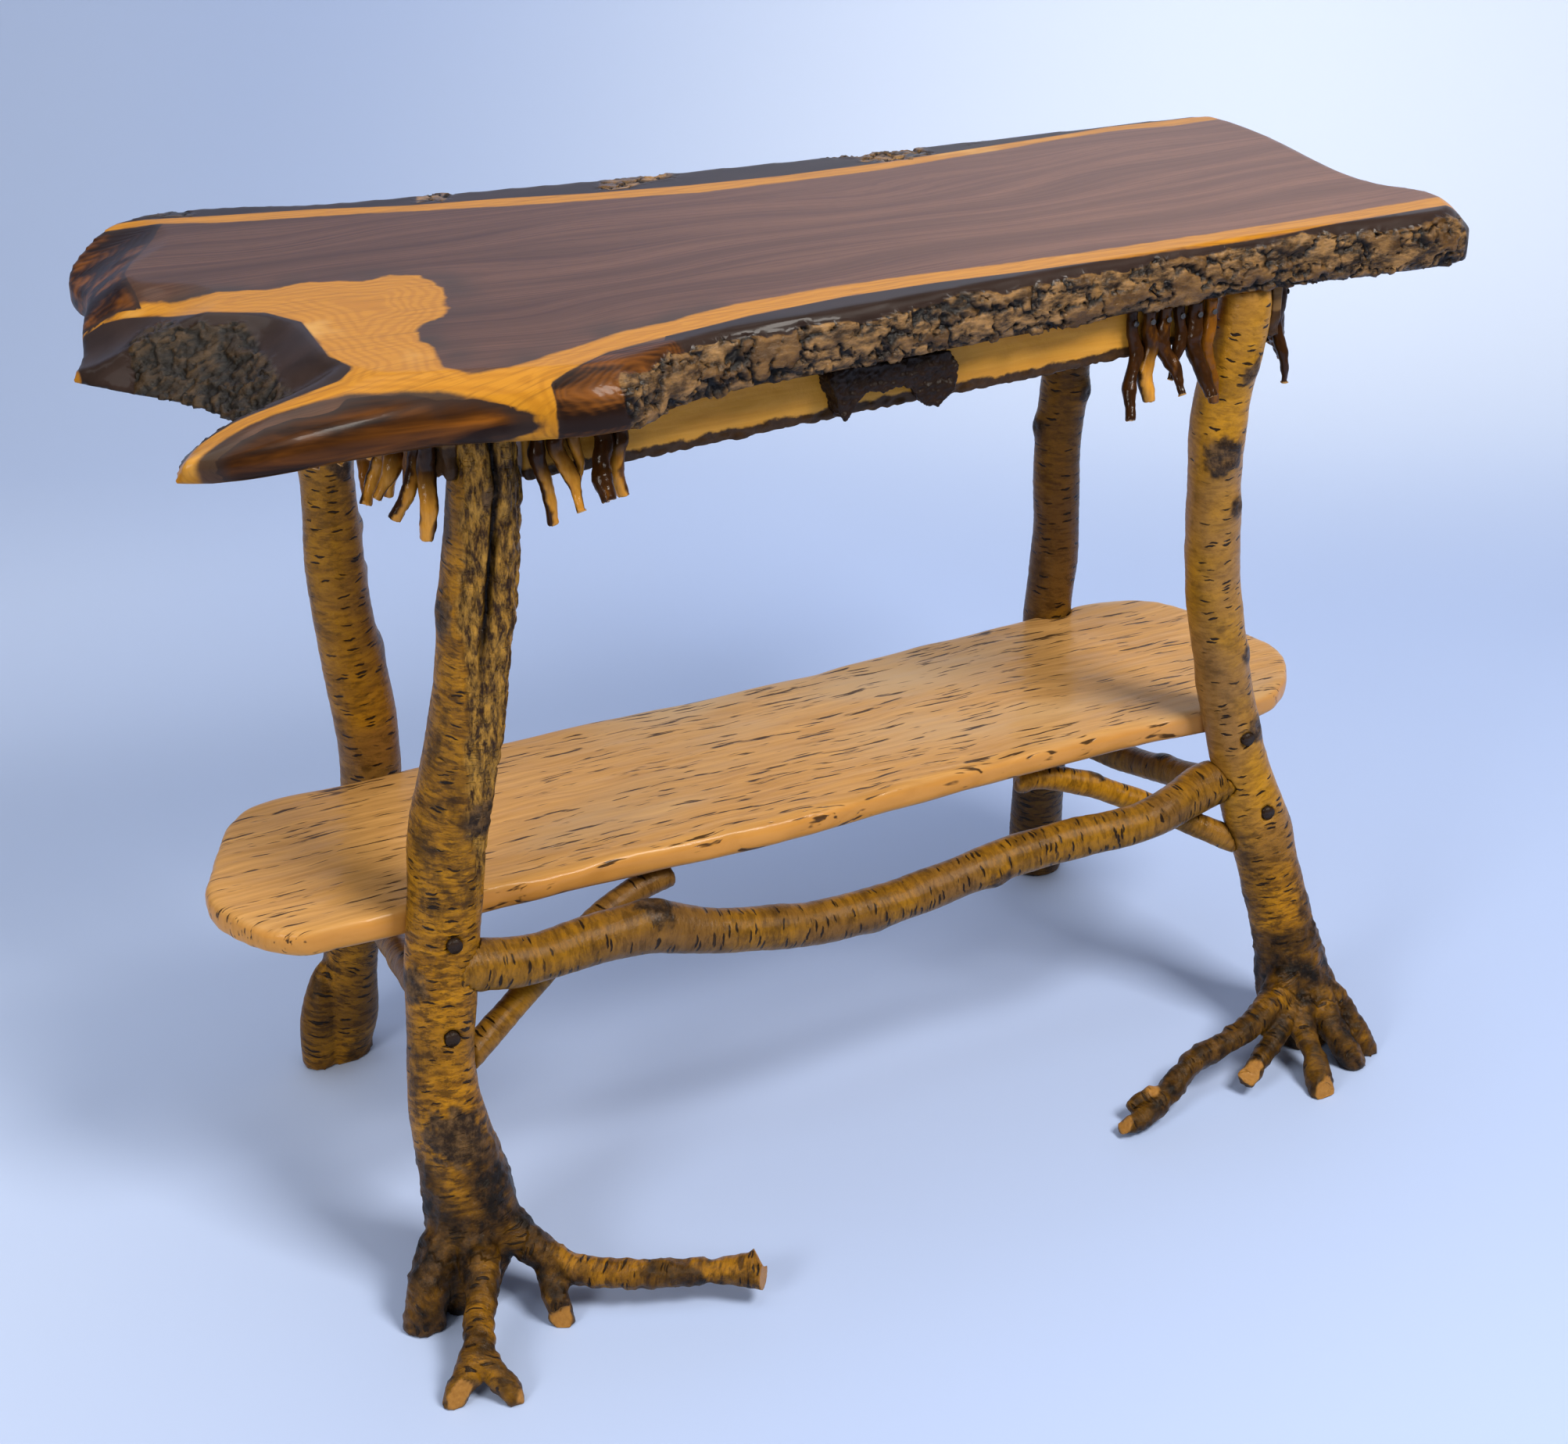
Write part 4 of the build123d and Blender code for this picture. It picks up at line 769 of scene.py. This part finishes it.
def dress_twigs(node, seed, outward):
    """Gives each twig of a fringe its own knobbly skin, crook, tone and cut ends."""
    whole = carve_copy(node, node + "_bark")
    bpy.ops.object.mode_set(mode="EDIT")
    bpy.ops.mesh.select_all(action="SELECT")
    bpy.ops.mesh.separate(type="LOOSE")
    bpy.ops.object.mode_set(mode="OBJECT")
    singles = list(bpy.context.selected_objects)
    chance = np.random.default_rng(seed)
    for order, twig in enumerate(sorted(singles, key=lambda t: t.name)):
        skin(twig, TWIG_SKIN, 2)
        places = points_of(twig)
        facing = facing_of(twig)
        middle = places.mean(0)
        way = np.linalg.svd(places - middle, full_matrices=False)[2][0]
        way *= np.sign(-way[2]) or 1
        along = (places - middle) @ way
        across = places - middle - np.outer(along, way)
        thick = np.median(np.linalg.norm(across, axis=1))
        end = np.maximum(ease(along.max() - 0.006, along.max() - 0.002, along),
                         ease(along.min() + 0.006, along.min() + 0.002, along))
        cut = end * ease(0.55, 0.8, np.abs(facing @ way))
        split = np.zeros(len(places))
        if chance.random() < SPLIT_SHARE:
            out = np.array([chance.normal() * 0.5 + (places.mean(0)[0] > 0) * 0.6 - 0.3, -1.0, 0.0])
            out -= way * (out @ way)
            out /= np.linalg.norm(out)
            low = ease(chance.uniform(-0.02, 0.01), 0.025, along)
            split = ease(0.25, 0.6, facing @ out + 0.25 * waves(places, 0.02, seed + order)) * low
        knot = chance.uniform(along.min() * 0.6, along.max() * 0.8)
        free = ease(along.min(), along.max(), along)
        bend = chance.uniform(LEAST_BEND, MOST_BEND) * chance.choice([-1, 1])
        bend = bend * np.sin(5.2 * free + chance.uniform(-0.5, 0.5)) * ease(0.0, 0.4, free)
        places = places + bend[:, None] * np.cross(way, outward)
        places = places + (chance.uniform(0.0, MOST_LEAN) * free**2)[:, None] * np.array(outward)
        lift = 0.10 * thick * waves(places, 0.022, seed + 3 * order, 3)
        lift += chance.uniform(0.0006, 0.0024) * ease(0.0, 0.3, free)
        lift += 0.16 * thick * np.exp(-(((along - knot) / 0.005) ** 2))
        taper = chance.choice(TAPERS)
        lift -= 0.12 * thick * split + taper * thick * ease(0.70, 1.0, free)
        move_points(twig, places + facing * (lift * (1 - cut))[:, None])
        mark(twig, cut_face=cut, split=split * (1 - cut), tone=chance.random())
    bpy.ops.object.select_all(action="DESELECT")
    for twig in singles:
        twig.select_set(True)
    bpy.context.view_layer.objects.active = whole
    bpy.ops.object.join()
    whole.data.materials.clear()
    whole.data.materials.append(twig_wood)
    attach(whole, body_of(frame["nodes"][node])[0])
    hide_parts(node)


FRINGES = {"twigs_end_left": (-1, 0, 0), "twigs_end_right": (1, 0, 0),
           "twigs_front_left": (0, -1, 0), "twigs_front_right": (0, -1, 0)}
for seed, (node, outward) in enumerate(FRINGES.items()):
    dress_twigs(node, 70 + 100 * seed, outward)

# ------------------------------------------------------------------ slab top
# One plank sawn through the crotch of a walnut: mauve-brown heart, a golden band
# of sapwood along both edges, and bark left rough on the front and in the fork.
# Its ends are carved to flowing hollows, and the whole is varnished to a gloss.
TOP_FACE = 0.860
# along the back: place along the table, bark side and heart side of the golden band
BACK_BAND = [(-0.560, 0.325, 0.316), (-0.503, 0.314, 0.302), (-0.424, 0.294, 0.270),
             (-0.344, 0.277, 0.253), (-0.265, 0.252, 0.233), (-0.182, 0.237, 0.211),
             (-0.099, 0.217, 0.193), (-0.012, 0.203, 0.177), (0.080, 0.195, 0.173),
             (0.179, 0.195, 0.173), (0.284, 0.202, 0.184), (0.395, 0.210, 0.197),
             (0.454, 0.216, 0.201), (0.511, 0.212, 0.192), (0.620, 0.212, 0.198)]
# along the front: place, heart side and bark side
FRONT_BAND = [(-0.255, -0.170, -0.190), (-0.164, -0.141, -0.172), (-0.119, -0.131, -0.162),
              (-0.032, -0.124, -0.152), (0.052, -0.127, -0.152), (0.139, -0.132, -0.158),
              (0.230, -0.134, -0.160), (0.374, -0.134, -0.158), (0.476, -0.133, -0.156),
              (0.583, -0.129, -0.153), (0.620, -0.128, -0.150)]
# closed outlines in plan, in metres
GOLD_SWELL = [(-0.620, 0.118), (-0.568, 0.115), (-0.544, 0.105), (-0.526, 0.098), (-0.498, 0.081),
              (-0.469, 0.070), (-0.405, 0.069), (-0.343, 0.057), (-0.322, 0.049), (-0.316, 0.026),
              (-0.320, -0.013), (-0.326, -0.046), (-0.343, -0.063), (-0.366, -0.073),
              (-0.372, -0.084), (-0.368, -0.127), (-0.377, -0.171), (-0.362, -0.189),
              (-0.333, -0.193), (-0.297, -0.181), (-0.222, -0.153), (-0.188, -0.149),
              (-0.150, -0.139), (-0.150, -0.168), (-0.216, -0.183), (-0.252, -0.193),
              (-0.285, -0.212), (-0.309, -0.218), (-0.309, -0.240), (-0.336, -0.223),
              (-0.358, -0.210), (-0.389, -0.195), (-0.433, -0.184), (-0.454, -0.177),
              (-0.507, -0.178), (-0.544, -0.184), (-0.572, -0.202), (-0.620, -0.215)]
BARK_POCKET = [(-0.602, 0.114), (-0.570, 0.108), (-0.553, 0.094), (-0.532, 0.074), (-0.509, 0.037),
               (-0.482, 0.022), (-0.460, 0.011), (-0.441, -0.024), (-0.443, -0.070),
               (-0.445, -0.109), (-0.436, -0.142), (-0.450, -0.155), (-0.472, -0.159),
               (-0.503, -0.165), (-0.532, -0.163), (-0.570, -0.170), (-0.602, -0.172)]
FLAME_POCKET = [(-0.197, -0.186), (-0.252, -0.193), (-0.285, -0.212), (-0.309, -0.218),
                (-0.309, -0.232), (-0.294, -0.240), (-0.255, -0.262), (-0.180, -0.262)]
# along the carved front of the left prong: where gold above gives way to dark below
CARVED_LINE = [(-0.620, -0.226), (-0.572, -0.214), (-0.544, -0.199), (-0.507, -0.192),
               (-0.454, -0.186), (-0.410, -0.193), (-0.367, -0.204), (-0.336, -0.223),
               (-0.306, -0.233), (-0.262, -0.241)]
COVES = [(-0.440, 0.345), (-0.479, 0.282), (-0.521, 0.201), (-0.537, 0.161), (-0.539, 0.093),
         (-0.556, 0.108), (-0.640, 0.128), (-0.640, 0.345)]
# curls of the heart grain: how far it bends, its middle and its spread both ways
SWIRLS = [(0.030, -0.20, 0.02, 0.12, 0.05), (0.024, -0.28, -0.10, 0.06, 0.05),
          (0.040, 0.10, 0.05, 0.30, 0.07), (0.018, -0.42, 0.17, 0.10, 0.04)]
# bark of the slab: grain of the skin, sizes and rises of its plates and flakes, depth of its
# bed, and the share from which the skin is made finer
SLAB_SKIN = 0.0043
PLATE_SIZE, PLATE_RISE = 0.024, 0.0062
FLAKE_SIZE, FLAKE_RISE = 0.0105, 0.0012
BARK_BED = 0.0038
LEAST_BARK = 0.02
# where the front band, the dark front edge and the carved front end along the table, and the gap
# that stands for well outside
FRONT_BAND_END, FRONT_EDGE_END, CARVED_END = -0.175, -0.20, -0.262
FAR_OUT = -0.01


def inside_gap(places, outline):
    """Gap to a closed outline in plan: above zero inside it."""
    across, up = places[:, 0], places[:, 1]
    gap = np.full(len(places), 9.0)
    inside = np.zeros(len(places), bool)
    for (x0, y0), (x1, y1) in zip(outline, [*outline[1:], outline[0]]):
        run, rise = x1 - x0, y1 - y0
        share = np.clip(((across - x0) * run + (up - y0) * rise) / (run**2 + rise**2), 0, 1)
        gap = np.minimum(gap, np.hypot(across - x0 - share * run, up - y0 - share * rise))
        if rise:
            inside ^= ((y0 > up) != (y1 > up)) & (across < x0 + (up - y0) * run / rise)
    return np.where(inside, gap, -gap)


def band_side(places, band, column):
    """Where one side of a band lies across the table, at each place along it."""
    rows = np.array(band)
    return np.interp(places[:, 0], rows[:, 0], rows[:, column])


def rough_share(places, facing):
    """Where the slab keeps its rough bark: front edge, fork, and slivers at the back."""
    across, up, level = places.T
    wander = 0.004 * waves(places * (1, 1, 0.4), 0.05, 81)
    below = ease(TOP_FACE - 0.0065, TOP_FACE - 0.0100, level + 0.8 * wander)
    front = below * ease(-0.08, -0.10, up)
    front *= ease(-0.262, -0.250, across + 0.5 * (up + 0.235) + 2 * wander)
    front *= ease(0.588, 0.578, across - wander)
    pocket = ease(0.0, 0.004, inside_gap(places, BARK_POCKET) - 0.013 + 2.4 * wander)
    pocket *= ease(-0.470, -0.486, across + 0.5 * wander)
    pocket *= ease(-0.594, -0.586, across - 0.35 * np.abs(up + 0.05) + wander)
    back = ease(0.0, 0.003, up - band_side(places, BACK_BAND, 1) - 0.006 + 1.6 * wander)
    back *= ease(0.1, 0.5, waves(places * (1, 1, 0.3), 0.17, 82, 2))
    back *= ease(-0.50, -0.47, across) * ease(0.44, 0.42, across)
    share = np.maximum.reduce([front, pocket, back])
    return share * ease(-0.92, -0.75, facing[:, 2])


piece = carve_copy("top_slab", "slab_of_walnut")
skin(piece, SLAB_SKIN, 2)
share = rough_share(points_of(piece), facing_of(piece))
only(piece)
bpy.ops.object.mode_set(mode="EDIT")
bpy.ops.mesh.select_all(action="DESELECT")
bpy.ops.mesh.select_mode(type="VERT")
bpy.ops.object.mode_set(mode="OBJECT")
piece.data.vertices.foreach_set("select", share > LEAST_BARK)
bpy.ops.object.mode_set(mode="EDIT")
bpy.ops.mesh.subdivide(number_cuts=1)
bpy.ops.object.mode_set(mode="OBJECT")
apply_modifier(piece, "SMOOTH", factor=0.5, iterations=1)
places = points_of(piece)
facing = facing_of(piece)
across, up, level = places.T
share = rough_share(places, facing)
warped = places + 0.006 * np.column_stack([waves(places, 0.03, 96), waves(places, 0.03, 97),
                                           waves(places, 0.03, 98)])
crack, plate = cells(warped, PLATE_SIZE, 91, (1.8, 1.0, 0.75))
flake, flake_tone = cells(warped, FLAKE_SIZE, 92, (2.4, 1.0, 0.7))
low = 1 - 0.5 * ease(-0.40, -0.44, across)
lift = share * low * (PLATE_RISE * ease(0.0, 0.10, crack) * (0.30 + 0.80 * plate) - BARK_BED)
lift += share * FLAKE_RISE * ease(0.0, 0.12, flake) * flake_tone
lift += share * 0.0010 * waves(warped, 0.030, 93, 2)
places = places + facing * lift[:, None]
places[:, 2] = np.minimum(places[:, 2], TOP_FACE)
places[:, 1] = np.minimum(places[:, 1], cad_box[1][1])
move_points(piece, places)
back_gap = np.minimum(up - band_side(places, BACK_BAND, 2), band_side(places, BACK_BAND, 1) - up)
front_gap = np.minimum(band_side(places, FRONT_BAND, 1) - up, up - band_side(places, FRONT_BAND, 2))
front_gap = np.where(across > FRONT_BAND_END, front_gap, FAR_OUT)
pocket_gap = inside_gap(places, BARK_POCKET)
swell_gap = inside_gap(places, GOLD_SWELL)
swell_gap += 0.005 * waves(places * (1, 1, 0.3), 0.06, 83, 3) * ease(-0.14, -0.08, up)
smoke = ease(-0.045, 0.0, swell_gap) * ease(0.0, 0.008, -pocket_gap)
swell_gap = np.minimum(swell_gap, -pocket_gap)
gold_gap = np.maximum.reduce([back_gap, front_gap, swell_gap])
front_edge = np.where(across > FRONT_EDGE_END, band_side(places, FRONT_BAND, 2) - up, FAR_OUT)
cut_gap = np.maximum(up - band_side(places, BACK_BAND, 1), front_edge)
front_carved = np.where(across < CARVED_END, band_side(places, CARVED_LINE, 1) - up, FAR_OUT)
front_carved += 0.0045 * waves(places * (0.4, 1.0, 2.0), 0.045, 99) * ease(-0.30, -0.36, across)
cove_gap = np.minimum(inside_gap(places, COVES), band_side(places, BACK_BAND, 2) - up)
flame_gap = inside_gap(places, FLAME_POCKET)
dark_gap = np.maximum.reduce([cut_gap, pocket_gap, flame_gap, front_carved, cove_gap])
warm = np.maximum.reduce([ease(0.0, 0.01, front_carved), ease(0.0, 0.01, cove_gap),
                          0.8 * ease(0.0, 0.002, flame_gap)])
warm *= 1 - ease(0.0, 0.004, pocket_gap)
swirl = up + 0.010 * waves(places * (0.35, 1, 0.2), 0.16, 95, 2)
for push, x, y, long, wide in SWIRLS:
    swirl += push * np.exp(-(((across - x) / long) ** 2) - ((up - y) / wide) ** 2)
smoke *= np.clip(0.55 + 0.45 * waves(places, 0.06, 84, 3), 0, 1)
mark(piece, grain=np.column_stack([across, swirl, level]), bark=share, warm=warm, smoke=smoke,
     gold_gap=np.clip(gold_gap, -0.03, 0.05), dark_gap=np.clip(dark_gap, -0.03, 0.05),
     cove_gap=np.clip(np.maximum(cove_gap, 2.0 * flame_gap), -0.03, 0.10),
     flame=ease(0.0, 0.002, flame_gap), plate=plate, crack=crack)

slab_wood, tree, surface, object_place = new_finish("varnished_walnut", 0.36, 0.16, 0.09)
grain_place = stored(tree, "grain", "Vector")
broad = noise(tree, grain_place, (1.6, 34.0, 6.0), 4.0, 0.55, 0.3)
fine = noise(tree, grain_place, (12.0, 520.0, 60.0), 4.0, 0.6)
pore = noise(tree, grain_place, (60.0, 1500.0, 200.0), 2.0, 0.5)
sway = noise(tree, grain_place, 7.0, 4.0, 0.55)
deep = (0.058, 0.022, 0.014)
lines = noise(tree, grain_place, (3.0, 300.0, 40.0), 5.0, 0.62, 0.5)
heart = ramp(tree, broad, 0.30, 0.70, (0.100, 0.045, 0.024), (0.205, 0.096, 0.056))
heart = tinted(tree, heart, step(tree, lines, 0.44, 0.64), 0.60, deep)
heart = tinted(tree, heart, step(tree, fine, 0.40, 0.75), 0.45, deep)
heart = tinted(tree, heart, step(tree, pore, 0.55, 0.75), 0.6, (0.024, 0.012, 0.010))
# painted light and shade: the heart is painted darker towards the left end and lighter towards the
# right
span = add(tree, "SeparateXYZ", {0: object_place})
painted_light_across = step(tree, span, -0.55, 0.55)
heart = blend_colour(tree, times(tree, painted_light_across, -0.46, 0.46), heart, (0.036, 0.017, 0.008))
heart = tinted(tree, heart, painted_light_across, 0.24, (0.26, 0.130, 0.095))
heart = tinted(tree, heart, "smoke", 0.95, (0.048, 0.030, 0.019))
ringed = sums(tree, "SINE", times(tree, sway, 34.0, times(tree, "gold_gap", 760.0)))
ringed = step(tree, ringed, -0.9, 1.4)
sap = blend_colour(tree, times(tree, ringed, 0.40), (0.51, 0.215, 0.016), (0.33, 0.115, 0.007))
sap = ramp(tree, fine, 0.45, 0.85, sap, (0.24, 0.095, 0.012))
sap = ramp(tree, sway, 0.56, 0.68, sap, (0.60, 0.31, 0.070))
edge_noise = times(tree, noise(tree, grain_place, 45.0, 4.0), 0.006, -0.003)
gold_share = step(tree, sums(tree, "ADD", "gold_gap", edge_noise), -0.0022, 0.0026)
wood = blend_colour(tree, gold_share, heart, sap)
dark_share = step(tree, times(tree, edge_noise, 0.5, "dark_gap"), -0.0006, 0.0008)
flow = noise(tree, object_place, (7.0, 38.0, 60.0), 4.0, 0.55, 0.5)
carved = blend_colour(tree, flow, (0.012, 0.007, 0.005), (0.050, 0.030, 0.024))
flowing = sums(tree, "SINE", times(tree, flow, 16.0, times(tree, "cove_gap", 800.0)))
strength = times(tree, "flame", 0.75, 0.25)
flowing = times(tree, flowing, strength)
amber = ramp(tree, times(tree, flowing, 0.10, flow), 0.42, 0.76, (0.014, 0.005, 0.002),
             (0.24, 0.076, 0.008))
carved = blend_colour(tree, "warm", carved, amber)
wood = blend_colour(tree, dark_share, wood, carved)
bark_noise = noise(tree, object_place, (42.0, 70.0, 112.0), 7.0, 0.68)
bark = ramp(tree, bark_noise, 0.36, 0.72, (0.012, 0.006, 0.002), (0.40, 0.215, 0.075))
bark = tinted(tree, bark, step(tree, "plate", 0.50, 0.90), 0.6, (0.120, 0.055, 0.012))
# painted shade: the cracks between the bark plates are painted near-black
bark = tinted(tree, bark, step(tree, "crack", 0.15, 0.02), 1.0, (0.004, 0.002, 0.001))
bark = tinted(tree, bark, step(tree, span, -0.30, -0.40), 0.82, (0.008, 0.005, 0.002))
wood = ramp(tree, "bark", 0.25, 0.6, wood, bark)
relief = times(tree, bark_noise, "bark")
flutes = times(tree, flowing, "warm")
relief = times(tree, flutes, 0.06, relief)
finish_with(tree, surface, wood, relief, 0.0026)
varnish = times(tree, "bark", 0.28, 0.13)
tree.links.new(varnish, surface.inputs["Coat Weight"])
piece.data.materials.append(slab_wood)
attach(piece, "root")
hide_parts("top_slab")

# ------------------------------------------------------------------ studio
# A pale blue paper sweep, with painted shade towards the back and a painted light and faint painted
# glow at the far right, so it reads darker at the far left; one key lamp at the front, a big soft
# lamp above and a small fill at the left.
SWEEP_BACK = 2.6
SWEEP_ROUND = 1.0
HALF_SWEEP = 7.0
VIEW_TURN = -0.452092
VIEW_TILT = np.pi / 2 - 0.483518
FLOOR_LEVEL = -0.0005
PAPER_SHEEN = 0.15
floor_paper, tree, surface, object_place = new_finish("paper_sweep", 0.75)
surface.inputs["Specular IOR Level"].default_value = PAPER_SHEEN
sideways = add(tree, "SeparateXYZ", {0: object_place})
inward = add(tree, "SeparateXYZ", {0: object_place}, 1)
cloud = noise(tree, object_place, 0.9, 3.0)
side_share = step(tree, times(tree, cloud, 0.9, sideways), -1.1, 0.7)
paper = blend_colour(tree, side_share, (0.56, 0.65, 0.84), (0.49, 0.60, 0.87))
# painted shade: the paper is darkened towards the back and up the wall
painted_far_shade = times(tree, step(tree, inward, 0.6, 2.4), 0.40)
paper = blend_colour(tree, painted_far_shade, paper, (0.36, 0.47, 0.74))
# painted light: the far right of the paper is made lighter
painted_far_light = times(tree, step(tree, inward, 1.0, 2.4), step(tree, sideways, -1.05, 1.0))
finish_with(tree, surface, blend_colour(tree, painted_far_light, paper, (0.80, 0.86, 0.97)))
# painted glow: the far right of the paper gives off a little light of its own
painted_glow = blend_colour(tree, painted_far_light, (0.0, 0.0, 0.0), (0.12, 0.15, 0.20))
tree.links.new(painted_glow, surface.inputs["Emission Color"])
surface.inputs["Emission Strength"].default_value = 1.0
rows = [(-6.0, 0.0), (-2.0, 0.0), (0.8, 0.0), (SWEEP_BACK - SWEEP_ROUND, 0.0)]
rows += [(SWEEP_BACK - SWEEP_ROUND + SWEEP_ROUND * np.sin(turn), SWEEP_ROUND * (1 - np.cos(turn)))
         for turn in np.linspace(0.1, 1.45, 14)]
rows += [(SWEEP_BACK + 0.25, 3.2), (SWEEP_BACK + 0.3, 6.0)]
corners = [(side, y, FLOOR_LEVEL + z) for y, z in rows for side in (-HALF_SWEEP, HALF_SWEEP)]
faces = [(2 * k, 2 * k + 1, 2 * k + 3, 2 * k + 2) for k in range(len(rows) - 1)]
sweep_mesh = bpy.data.meshes.new("paper_sweep")
sweep_mesh.from_pydata(corners, [], faces)
sweep = bpy.data.objects.new("paper_sweep", sweep_mesh)
bpy.context.scene.collection.objects.link(sweep)
sweep.rotation_euler = (0, 0, VIEW_TURN)
only(sweep)
bpy.ops.object.shade_smooth()
sweep.data.materials.append(floor_paper)

world = bpy.data.worlds.new("studio_air")
world.use_nodes = True
world.node_tree.nodes["Background"].inputs["Color"].default_value = (0.86, 0.91, 1.0, 1.0)
world.node_tree.nodes["Background"].inputs["Strength"].default_value = 0.11
bpy.context.scene.world = world


def soft_lamp(name, place, aim, power, size, colour):
    """Square softbox aimed at a point."""
    lamp = bpy.data.lights.new(name, "AREA")
    lamp.energy = power
    lamp.size = size
    lamp.color = colour
    made = bpy.data.objects.new(name, lamp)
    made.location = place
    made.rotation_euler = (Vector(aim) - Vector(place)).to_track_quat("-Z", "Y").to_euler()
    bpy.context.scene.collection.objects.link(made)


soft_lamp("key_box", (0.9, -2.0, 3.0), (0.0, 0.0, 0.4), 104.0, 1.1, (1.0, 0.96, 0.90))
soft_lamp("top_box", (-0.6, 0.6, 3.4), (-0.3, 0.2, 0.0), 54.0, 3.2, (0.96, 0.98, 1.0))
soft_lamp("left_box", (-2.6, -1.4, 1.7), (0.0, 0.0, 0.4), 34.0, 1.0, (1.0, 0.97, 0.92))

lens = bpy.data.cameras.new("viewer")
lens.lens = 56.45
lens.sensor_width = 36.0
lens.sensor_fit = "HORIZONTAL"
viewer = bpy.data.objects.new("viewer", lens)
viewer.location = (-0.9061, -1.8406, 1.4734)
viewer.rotation_euler = (VIEW_TILT, 0.0, VIEW_TURN)
bpy.context.scene.collection.objects.link(viewer)
bpy.context.scene.camera = viewer
bpy.context.scene.view_settings.view_transform = "Standard"

bpy.context.view_layer.update()
